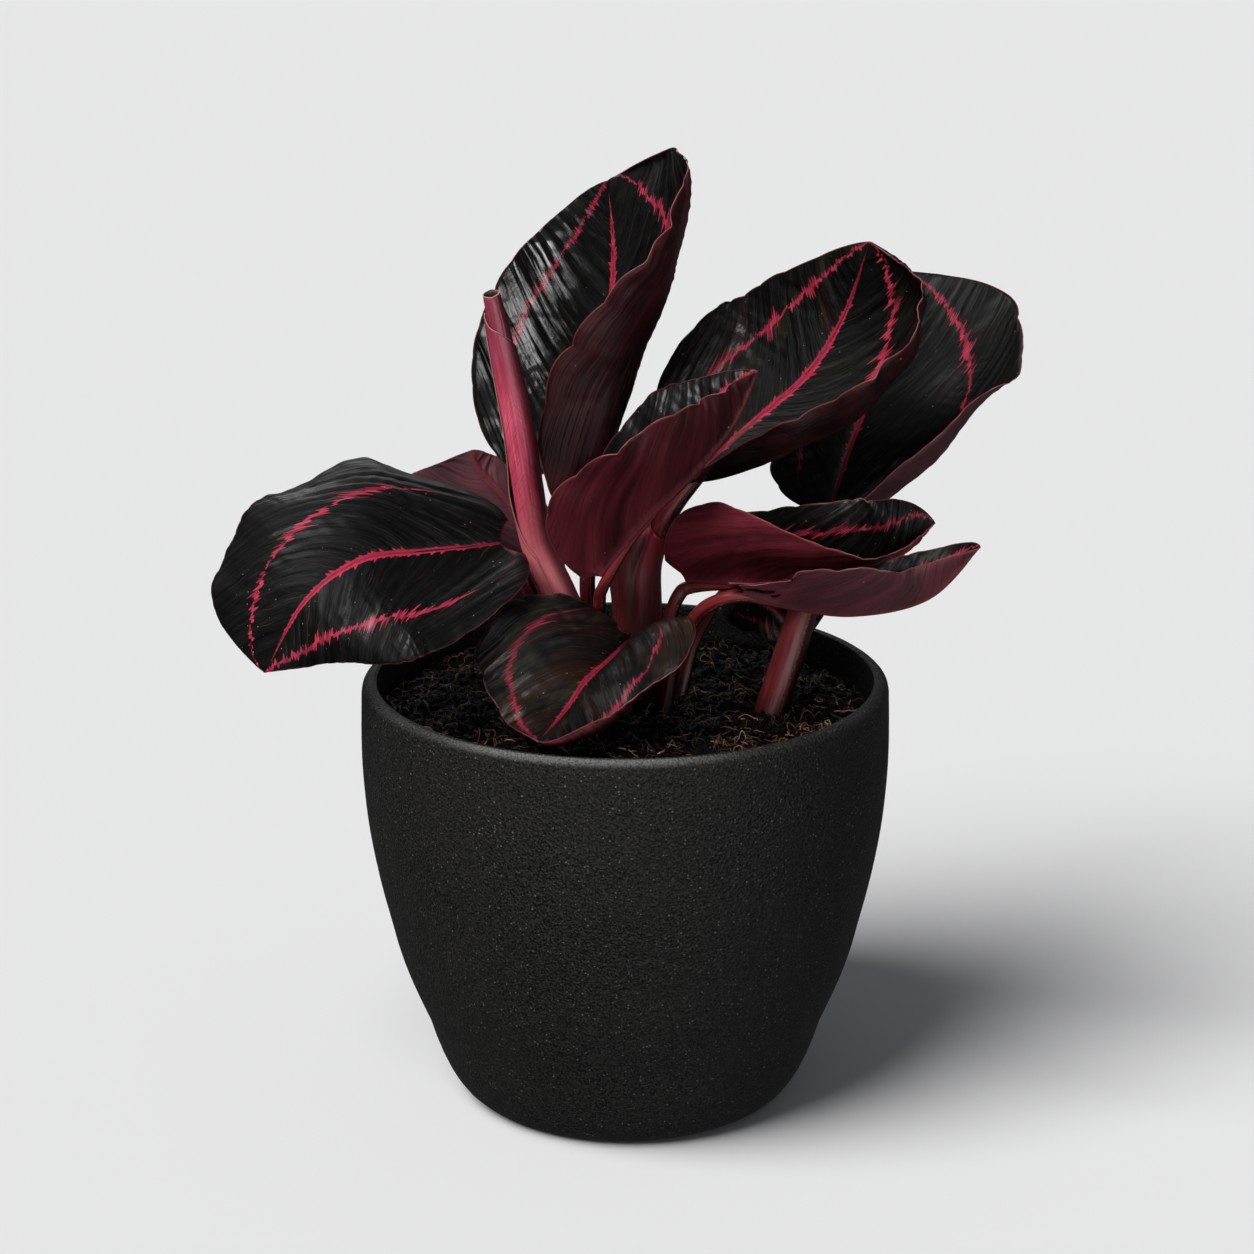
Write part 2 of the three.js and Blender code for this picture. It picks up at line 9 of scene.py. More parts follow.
import bpy
import numpy as np
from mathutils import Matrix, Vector


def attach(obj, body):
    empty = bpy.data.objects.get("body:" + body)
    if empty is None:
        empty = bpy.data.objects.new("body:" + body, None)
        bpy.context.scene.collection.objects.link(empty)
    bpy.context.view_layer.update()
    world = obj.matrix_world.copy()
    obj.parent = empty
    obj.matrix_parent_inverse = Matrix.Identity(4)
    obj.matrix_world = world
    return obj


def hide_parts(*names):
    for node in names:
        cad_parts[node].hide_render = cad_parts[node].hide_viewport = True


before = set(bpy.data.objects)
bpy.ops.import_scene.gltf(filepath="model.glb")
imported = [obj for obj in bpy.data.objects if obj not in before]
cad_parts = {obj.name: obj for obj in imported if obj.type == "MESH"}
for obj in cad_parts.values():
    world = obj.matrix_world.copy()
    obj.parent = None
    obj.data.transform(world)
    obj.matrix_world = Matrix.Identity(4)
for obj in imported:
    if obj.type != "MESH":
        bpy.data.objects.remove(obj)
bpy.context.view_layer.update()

# The pot: a round planter cast in a mould, with a wall of about 5 mm, of a dense stone mix with a
# matt black skin. Its skin is finely stippled, partly with painted highlight, with pale specks
# painted as glints. A painted highlight makes the front of its rounded rim a little paler, and
# painted shade darkens its right side.

POT_OUTSIDE = [
    (69.3, 27.5), (75.3, 42), (79, 53), (81.7, 63.9), (84.6, 76), (87, 88.2),
    (88.9, 101), (90.05, 114.9), (90.4, 125), (90.3, 134.4), (90, 145),
]
POT_RIM = [(89.5, 147), (88, 148.4), (86.4, 149), (85.2, 148.7), (84.8, 147)]
POT_INSIDE = [
    (84.8, 132), (84.6, 115), (81.6, 88), (76.2, 64), (69.6, 42), (58, 18), (46, 6), (1, 6),
]
POT_FOOT = [(30, 0), (52, 0), (61.5, 0)]
POT_SEGMENTS = 180


def through(rows, t):
    """The smooth curve through rows of numbers, at each t from 0 to 1."""
    rows = np.asarray(rows, float)
    last = len(rows) - 1
    place = np.clip(np.asarray(t, float), 0, 1) * last
    i = np.minimum(place.astype(int), last - 1)
    f = (place - i)[..., None]
    ends = np.concatenate([[2 * rows[0] - rows[1]], rows, [2 * rows[-1] - rows[-2]]])
    p0, p1, p2, p3 = ends[i], ends[i + 1], ends[i + 2], ends[i + 3]
    bend = (2 * p0 - 5 * p1 + 4 * p2 - p3) * f**2 + (3 * p1 - p0 - 3 * p2 + p3) * f**3
    return 0.5 * (2 * p1 + (p2 - p0) * f + bend)


def smoothstep(low, high, x):
    """Runs smoothly from 0 to 1 while x goes from low to high."""
    f = np.clip((x - low) / (high - low), 0, 1)
    return f * f * (3 - 2 * f)


def full_turn(count):
    """So many angles, evenly round a circle."""
    return np.linspace(0, 2 * np.pi, count, endpoint=False)


def add_piece(name, points, faces, materials, replaced=()):
    """A mesh piece in the frame, from points in millimetres."""
    mesh = bpy.data.meshes.new(name)
    mesh.from_pydata(np.reshape(points, (-1, 3)) / 1000, [], faces)
    mesh.shade_smooth()
    for material in materials:
        mesh.materials.append(material)
    piece = bpy.data.objects.new(name, mesh)
    bpy.context.collection.objects.link(piece)
    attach(piece, "root")
    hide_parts(*replaced)
    return piece


def point_values(piece, name, values):
    """Three numbers for each point of a piece, for its material to read."""
    attribute = piece.data.attributes.new(name, "FLOAT_VECTOR", "POINT")
    attribute.data.foreach_set("vector", np.asarray(values, np.float32).ravel())


def ring_faces(rings, sides, closed=True):
    """Quads between rings of points that follow each other."""
    last = sides if closed else sides - 1
    ring, side = np.meshgrid(np.arange(rings - 1), np.arange(last), indexing="ij")
    here = ring * sides + side
    beside = ring * sides + (side + 1) % sides
    return np.stack([here, beside, beside + sides, here + sides], -1).reshape(-1, 4).tolist()


def closed_faces(rings, sides):
    """The faces of a solid that is made of rings of points, with a cap at both ends."""
    last = (rings - 1) * sides
    caps = [list(range(sides))[::-1], list(range(last, last + sides))]
    return ring_faces(rings, sides) + caps


def ring_points(profile, turn):
    """Rings of points round the upright axis, from rows of radius and height."""
    radius, height = np.transpose(profile)[..., None]
    return np.stack([radius * np.cos(turn), radius * np.sin(turn), height + 0 * turn], -1)


def colour(code):
    """A colour for a shader socket, from its six hexadecimal digits."""
    parts = [int(code[i:i + 2], 16) / 255 for i in (0, 2, 4)]
    return [p / 12.92 if p < 0.04045 else ((p + 0.055) / 1.055) ** 2.4 for p in parts] + [1]


class Value:
    """An output in a node tree, with which sums are written as in plain code."""

    def __init__(self, tree, socket):
        self.tree, self.socket = tree, socket

    def __add__(self, other):
        return calc("ADD", self, other)

    def __sub__(self, other):
        return calc("SUBTRACT", self, other)

    def __rsub__(self, other):
        return calc("SUBTRACT", other, self)

    def __mul__(self, other):
        return calc("MULTIPLY", self, other)

    def __abs__(self):
        return calc("ABSOLUTE", self)


class Outputs:
    """The outputs of one node, each found by its name or number."""

    def __init__(self, tree, sockets):
        self.tree, self.sockets = tree, sockets

    def __getitem__(self, key):
        return Value(self.tree, self.sockets[key])


def join(value, socket):
    """Sets a socket, or links it where its value comes from a node."""
    if isinstance(value, Value):
        value.tree.links.new(value.socket, socket)
    else:
        socket.default_value = value


def put(tree, kind, inputs=(), **settings):
    """The outputs of a new node, with its settings made and its sockets set or linked."""
    node = tree.nodes.new("ShaderNode" + kind)
    for name, setting in settings.items():
        setattr(node, name, setting)
    for key, value in dict(inputs).items():
        join(value, node.inputs[key])
    return Outputs(tree, node.outputs)


def calc(operation, *values):
    """The result of one sum on numbers and values."""
    tree = next(value.tree for value in values if isinstance(value, Value))
    return put(tree, "Math", enumerate(values), operation=operation)[0]


def ramp(value, low, high, start=0.0, end=1.0):
    """Runs smoothly from start to end while the value goes from low to high."""
    sockets = {0: value, 1: low, 2: high, 3: start, 4: end}
    return put(value.tree, "MapRange", sockets, interpolation_type="SMOOTHSTEP")[0]


def blend(share, first, second):
    """Two colours mixed, the second by its share."""
    first, second = [colour(c) if isinstance(c, str) else c for c in (first, second)]
    return put(share.tree, "Mix", {0: share, 6: first, 7: second}, data_type="RGBA")[2]


def layers(base, *coats):
    """A colour with others laid over it in turn, each with its share."""
    for share, coat in coats:
        base = blend(share, base, coat)
    return base


def new_group(name, inputs, outputs):
    """An empty node group, with its inputs and their first values, and its outputs."""
    tree = bpy.data.node_groups.new(name, "ShaderNodeTree")
    for key, value in inputs.items():
        socket = tree.interface.new_socket(key, in_out="INPUT", socket_type="NodeSocketFloat")
        socket.default_value = value
    for key in outputs:
        tree.interface.new_socket(key, in_out="OUTPUT", socket_type="NodeSocketFloat")
    given = Outputs(tree, tree.nodes.new("NodeGroupInput").outputs)
    return tree, given, tree.nodes.new("NodeGroupOutput").inputs


def use_group(tree, group, **inputs):
    """A node group placed in a material, with its own values."""
    sockets = {key.replace("_", " "): value for key, value in inputs.items()}
    return put(tree, "Group", sockets, node_tree=group)


def new_material(name, **sockets):
    """A material with one shader, whose constant values are set on its own sockets."""
    material = bpy.data.materials.new(name)
    material.use_nodes = True
    tree = material.node_tree
    tree.nodes.clear()
    shader = tree.nodes.new("ShaderNodeBsdfPrincipled")
    shader.name = "skin"
    tree.links.new(shader.outputs[0], tree.nodes.new("ShaderNodeOutputMaterial").inputs[0])
    for key, value in sockets.items():
        shader.inputs[key.replace("_", " ")].default_value = value
    return material, tree


def dress(material, base, roughness, normal=None, coat=None):
    """Links what varies over a material to its shader."""
    varied = {"Base Color": base, "Roughness": roughness, "Normal": normal, "Coat Weight": coat}
    for key, value in varied.items():
        if value is not None:
            join(value, material.node_tree.nodes["skin"].inputs[key])
    return material


def position(tree):
    """Where a point lies, in metres."""
    return put(tree, "TexCoord")["Object"]


def split(vector):
    """The three numbers of a vector."""
    return put(vector.tree, "SeparateXYZ", {0: vector})


def values_at(tree, name):
    """The three numbers that are stored under a name at each point."""
    return split(put(tree, "Attribute", attribute_name=name)["Vector"])


def noise(tree, scale, detail=3.0, roughness=0.5):
    """Noise through the solid, as many waves in a metre as the scale."""
    sockets = {"Vector": position(tree), "Scale": scale, "Detail": detail, "Roughness": roughness}
    return put(tree, "TexNoise", sockets)["Fac"]


def noise_on(x, y, own, stretch, detail=3.0, roughness=0.5):
    """Noise laid over two running values, stretched by two numbers, with a pattern of its own."""
    vector = put(x.tree, "CombineXYZ", {0: x * stretch[0], 1: y * stretch[1], 2: own})[0]
    sockets = {"Vector": vector, "Scale": 1.0, "Detail": detail, "Roughness": roughness}
    return put(x.tree, "TexNoise", sockets)["Fac"]


def relief(height, distance, strength=1.0):
    """A bump from a height between 0 and 1, as deep as the distance in metres."""
    sockets = {"Height": height, "Distance": distance, "Strength": strength}
    return put(height.tree, "Bump", sockets)[0]


def specks_group():
    """Sparse pale specks, dust on the plant and painted glints on the pot: 1 on a speck and 0
    elsewhere.
    """
    inputs = {"Specks per metre": 300.0, "Share": 0.3, "Size": 0.1}
    tree, given, result = new_group("dust and glint specks", inputs, ["Mask"])
    cells = put(tree, "TexVoronoi", {"Vector": position(tree), "Scale": given["Specks per metre"]})
    rolls = put(tree, "SeparateColor", {0: cells["Color"]})
    near = calc("LESS_THAN", cells["Distance"], given["Size"] * (rolls[1] + 0.35))
    chosen = calc("LESS_THAN", rolls[0], given["Share"])
    join(near * chosen, result["Mask"])
    return tree


DUST_AND_GLINTS = specks_group()


def dust_and_glint_specks(base, tint, strength, per_metre, share, size):
    """A colour under pale specks, dust on the plant and painted glints on the pot: how strong they
    are, how close, how many of them and how big.
    """
    dust = use_group(base.tree, DUST_AND_GLINTS, Specks_per_metre=per_metre, Share=share, Size=size)["Mask"]
    return blend(dust * strength, base, tint)


def pot_material():
    """Matt black and finely grained, with painted glints, a painted rim highlight in front and
    painted shade on the right.
    """
    material, tree = new_material("matt black pot", Specular_IOR_Level=0.13)
    at = split(position(tree))
    grain = noise(tree, 1500, 2.0, 0.7)
    grit = put(tree, "TexVoronoi", {"Vector": position(tree), "Scale": 900})["Distance"]
    patches = noise(tree, 28, 5.0, 0.65)
    radius = calc("SQRT", at[0] * at[0] + at[1] * at[1])
    # painted highlight: the rim's rounded shoulder is paler at the front left, where the light
    # catches it
    rim_highlight = ramp(at[2], 0.1466, 0.1486) * ramp(radius, 0.0863, 0.0873)
    rim_highlight = rim_highlight * ramp(grain, 0.3, 0.62, 0.3, 1.0)
    rim_highlight = rim_highlight * ramp(at[0], -0.07, -0.035, 0.15, 1.0) * ramp(at[0], 0.0, 0.05, 1.0, 0.08)
    base = layers(
        # the stipple's pale ridges: partly its own tone and partly painted highlight
        blend(ramp(grain, 0.42, 0.6), "020202", "2e2c29"),
        (ramp(grit, 0.1, 0.5, 0.6, 0.0), "050505"),
        (ramp(patches, 0.35, 0.75, 0.0, 0.3), "24221f"),
        (rim_highlight, "7c7b7a"),
        # painted shade: the right side darker, away from the light
        (ramp(at[0], 0.02, 0.075, 0.0, 0.35), "060606"),
    )
    # pale specks painted as glints on the grain
    base = dust_and_glint_specks(base, "8a8886", strength=0.5, per_metre=1000.0, share=0.2, size=0.22)
    height = grain + grit * 0.8
    return dress(material, base, ramp(patches, 0.3, 0.7, 0.5, 0.62), relief(height, 0.0006))


def pot_profile():
    """The pot's section as rows of radius and height, from the base over the rim to the inside."""
    share = np.linspace(0, 1, 9)[:-1, None]
    middle = 2 * share * (1 - share) * np.array(POT_FOOT[2])
    foot = (1 - share) ** 2 * np.array(POT_FOOT[1]) + middle + share**2 * np.array(POT_OUTSIDE[0])
    outside = through(POT_OUTSIDE, np.linspace(0, 1, 45))
    rim = through([POT_OUTSIDE[-1], *POT_RIM, POT_INSIDE[0]], np.linspace(0, 0.86, 20))[1:]
    inside = through(POT_INSIDE, np.linspace(0, 1, 30))
    return np.concatenate([[[1, 0], POT_FOOT[0]], foot, outside, rim, inside])


def add_pot():
    profile = pot_profile()
    points = ring_points(profile, full_turn(POT_SEGMENTS))
    faces = closed_faces(len(profile), POT_SEGMENTS)
    add_piece("black_pot", points, faces, [pot_material()], ["pot"])


add_pot()

# The soil: dark, damp potting mix of peat and coir that fills the pot in a low uneven mound. Loose
# crumbs and bark lie on it, with many thin curly coir fibres caught in it.

SOIL_LEVEL = 137
SOIL_MOUND = 3
SOIL_EDGE = 84.2
SOIL_WALL = [(84, 128), (83.8, 115), (80.8, 88), (75.4, 64), (68.8, 42), (57.2, 18), (45.5, 6.3)]
SOIL_RINGS = 85
SOIL_SEGMENTS = 360
CRUMBS = 4200
BARK = 170
FIBRES = 1700
FIBRE_POINTS = 11
FIBRE_LENGTH = (2.5, 9)
FIBRE_RADIUS = (0.07, 0.22)
FIBRE_REACH = 83.2
FIBRE_LIFT = 0.25
LUMP_LIFT = 0.2

random = np.random.default_rng(7)


def waves(x, y, size, seed):
    """Soft random swells of about one size in millimetres, between -1 and 1."""
    pick = np.random.default_rng(seed)
    total = 0
    for _ in range(5):
        turn = pick.uniform(0, np.pi)
        pitch = 2 * np.pi / size * pick.uniform(0.7, 1.4)
        total = total + np.sin(pitch * (x * np.cos(turn) + y * np.sin(turn)) + pick.uniform(0, 6.3))
    return total / 5


def soil_height(x, y):
    """Height of the soil, rough and lumpy, with its low mound in the middle."""
    out = np.minimum(np.hypot(x, y) / SOIL_EDGE, 1)
    lumps = np.sin(0.19 * x + 1.1 * np.sin(0.11 * y)) + np.cos(0.23 * y + np.sin(0.13 * x))
    grit = np.sin(0.61 * x + 0.37 * y) * np.cos(0.53 * y - 0.29 * x)
    shape = SOIL_MOUND * (1 - out**2) + 1.3 * (1 - out**6) * (0.5 * lumps + 0.6 * grit)
    rough = 0.9 * waves(x, y, 7, 1) + 0.55 * waves(x, y, 3.1, 2) + 0.3 * waves(x, y, 1.6, 3)
    return SOIL_LEVEL + shape + rough


def soil_material(name, shades, grain):
    """Crumbly and damp, with its shade picked by each crumb's own value."""
    material, tree = new_material(name, Specular_IOR_Level=0.04)
    crumb = noise(tree, grain, 6.0, 0.7)
    base = layers(
        blend(values_at(tree, "shade")[0], *shades[:2]),
        (ramp(crumb, 0.35, 0.7), shades[2]),
        (ramp(crumb, 0.62, 0.8, 0.0, 0.6), shades[3]),
    )
    return dress(material, base, ramp(crumb, 0.3, 0.7, 0.6, 0.9), relief(crumb, 0.0006, 0.8))


def soil_points(radius, turn):
    """Points on the soil, by their distance from the axis and their angle."""
    x, y = radius * np.cos(turn), radius * np.sin(turn)
    return np.stack([x, y, soil_height(x, y)], -1)


def add_soil():
    turn = full_turn(SOIL_SEGMENTS)
    top = soil_points(SOIL_EDGE * np.linspace(0.006, 1, SOIL_RINGS)[:, None], turn)
    points = np.concatenate([top, ring_points(SOIL_WALL, turn)])
    faces = [face[::-1] for face in closed_faces(len(points), SOIL_SEGMENTS)]
    earth = soil_material("damp potting soil", ["030202", "060403", "080504", "100a07"], 620)
    piece = add_piece("soil_bed", points, faces, [earth], ["soil"])
    point_values(piece, "shade", np.full(points.shape, 0.5))


def on_soil(count, reach=82.5):
    """Random places on the soil's surface."""
    radius = reach * np.sqrt(random.uniform(0, 1, count))
    return soil_points(radius, random.uniform(0, 2 * np.pi, count))


def unit(vectors):
    """Vectors of the same directions, each one long."""
    return vectors / np.linalg.norm(vectors, axis=-1, keepdims=True)


def turned_about(count, flat):
    """Random turns, as three axes for each thing, the third nearly upright where it lies flat."""
    first = random.normal(size=(count, 3))
    second = np.cross(first, random.normal(size=(count, 3)))
    axes = unit(np.stack([first, second, np.cross(first, second)], 1))
    if flat:
        axes[:, 2] = unit([0, 0, 1] + 0.4 * random.normal(size=(count, 3)))
        axes[:, 1] = unit(np.cross(axes[:, 2], axes[:, 0]))
        axes[:, 0] = np.cross(axes[:, 1], axes[:, 2])
    return axes


def twenty_sided():
    """The twelve corners and the twenty triangles of the ball that each lump starts from."""
    golden = (1 + 5**0.5) / 2
    ends = [(0, a, b * golden) for a in (-1, 1) for b in (-1, 1)]
    ball = np.array([p[k:] + p[:k] for k in range(3) for p in ends]) / math.hypot(1, golden)
    near = np.linalg.norm(ball[:, None] - ball, axis=-1) < 1.1
    sides = []
    for a, b, c in combinations(range(12), 3):
        if near[a, b] and near[b, c] and near[a, c]:
            outward = np.dot(np.cross(ball[b] - ball[a], ball[c] - ball[a]), ball[a]) > 0
            sides.append((a, b, c) if outward else (a, c, b))
    return ball, np.array(sides)


def repeated(faces, count, points):
    """The faces of many equal things, from the faces of one and its number of points."""
    return (faces + points * np.arange(count)[:, None, None]).reshape(-1, faces.shape[1]).tolist()


def add_lumps(name, count, sizes, form, shades, grain):
    """Many small uneven lumps lying on the soil, as one piece. Form is how long, wide and high."""
    ball, sides = twenty_sided()
    size = random.uniform(*sizes, (count, 1, 1)) * random.uniform(0.4, 1, (count, 1, 1))
    shape = ball * np.array(form) * random.uniform(0.72, 1.2, (count, 12, 1)) * size
    axes = turned_about(count, flat=form[2] < 0.5)
    points = on_soil(count)[:, None] + shape @ axes + [0, 0, LUMP_LIFT]
    material = soil_material(name.replace("_", " "), shades, grain)
    piece = add_piece(name, points, repeated(sides, count, 12), [material])
    point_values(piece, "shade", np.repeat(random.uniform(0, 1, (count, 3)), 12, axis=0))


def fibre_material():
    material, tree = new_material("coir fibre", Specular_IOR_Level=0.4)
    pick, mottle = values_at(tree, "shade")[0], noise(tree, 900)
    base = layers(
        blend(ramp(pick, 0.2, 0.8), "1a0e07", "6c4220"),
        (ramp(pick, 0.76, 1.0), "cf9f6a"),
        (ramp(mottle, 0.35, 0.7, 0.45, 0.0), "1d1008"),
    )
    return dress(material, base, ramp(mottle, 0.3, 0.7, 0.4, 0.65))


def spokes(across, third, turn):
    """Ways out from each point of a path, at angles from its first cross axis to its second."""
    across, third = across[..., None, :], third[..., None, :]
    return across * np.cos(turn)[:, None] + third * np.sin(turn)[:, None]


def add_fibres():
    step = np.linspace(0, 1, FIBRE_POINTS)
    length = random.uniform(*FIBRE_LENGTH, (FIBRES, 1)) * random.choice([1, 1, 1.7], (FIBRES, 1))
    bend, twist = random.normal(0, 2.6, (FIBRES, 1)), random.normal(0, 2.2, (FIBRES, 1))
    turning = bend * step + twist * step**2
    heading = random.uniform(0, 2 * np.pi, (FIBRES, 1)) + turning
    run = length / FIBRE_POINTS
    start = on_soil(FIBRES, 81)
    x = start[:, :1] + np.cumsum(np.cos(heading) * run, 1)
    y = start[:, 1:2] + np.cumsum(np.sin(heading) * run, 1)
    out = np.hypot(x, y)
    inside = np.minimum(out, FIBRE_REACH) / out
    x, y = x * inside, y * inside
    rise = random.uniform(-0.2, 1.8, (FIBRES, 1)) * random.choice([0.5, 1, 2], (FIBRES, 1))
    z = soil_height(x, y) + FIBRE_LIFT + rise * np.sin(np.pi * step)
    z += random.normal(0, 0.1, x.shape)
    path = np.stack([x, y, z], -1)
    along = unit(np.gradient(path, axis=1))
    across = unit(np.cross(along, [0, 0, 1]))
    thick = random.uniform(*FIBRE_RADIUS, (FIBRES, 1)) * (1 - 0.6 * np.abs(2 * step - 1) ** 3)
    around = spokes(across, np.cross(along, across), full_turn(4))
    points = path[:, :, None] + thick[:, :, None, None] * around
    faces = repeated(np.array(closed_faces(FIBRE_POINTS, 4)), FIBRES, 4 * FIBRE_POINTS)
    piece = add_piece("coir_fibres", points, faces, [fibre_material()])
    shade = np.repeat(random.uniform(0, 1, (FIBRES, 3)), 4 * FIBRE_POINTS, axis=0)
    point_values(piece, "shade", shade)


add_soil()
add_lumps(
    "soil_crumbs", CRUMBS, sizes=(0.5, 1.7), form=(1, 0.85, 0.75),
    shades=["050302", "140b06", "0a0604", "2a180c"], grain=900,
)
add_lumps(
    "bark_chips", BARK, sizes=(1.5, 4.2), form=(1, 0.45, 0.22),
    shades=["0a0604", "201309", "120a06", "3a2414"], grain=500,
)
add_fibres()

# The leaf blades: ten broad thin leaves, near black above with a jagged pink ring and a pink
# midrib, and wine red below. Each half is waved and pleated along its side veins.

# Each half is named as seen from the stalk, face up:
#   width    from the midrib to the margin at the widest place
#   widest   where that is, from 0 at the stalk to 1 at the tip
#   lobe     width at the base, as a share of the full width
#   point    how the half narrows to the tip: below 1 is blunt, above 1 is drawn out
#   back     how far the base lobe reaches behind the stalk's joint
#   sweep    how far the side veins run forward, as a share of the leaf's length
#   bend     how steeply the half rises at the midrib, half way and at the margin, in three rows
#            for the base, the middle and the tip
#   wave     height, number and phase of the waves along the margin
#   ring     where the pink ring runs from the base to the tip, as shares of the half's width
#   frill    how deep the small notches of the margin are, on their average
# Each leaf has these besides:
#   midrib   points of the midrib from the stalk to the tip, and up is which way it faces there
#   stalk    points of the stalk from the blade down to the soil, and its radius at both ends
#   marking  how strongly the pink ring and midrib show
#   gloss    of the upper face, which grows towards the tip, and haze is the brown haze on it
#   wine     how bright the underside is at the base and at the tip: its own wine colour, and painted
#            shade where it is set darker, as at the tall leaf's base; and grey is how grey it is

Half = namedtuple(
    "Half", "width widest lobe point back sweep bend wave ring frill",
    defaults=([0.62, 0.6, 0.56], 0.6),
)
Stalk = namedtuple("Stalk", "path top bottom")
Leaf = namedtuple("Leaf", "midrib up left right stalk marking gloss haze wine grey")

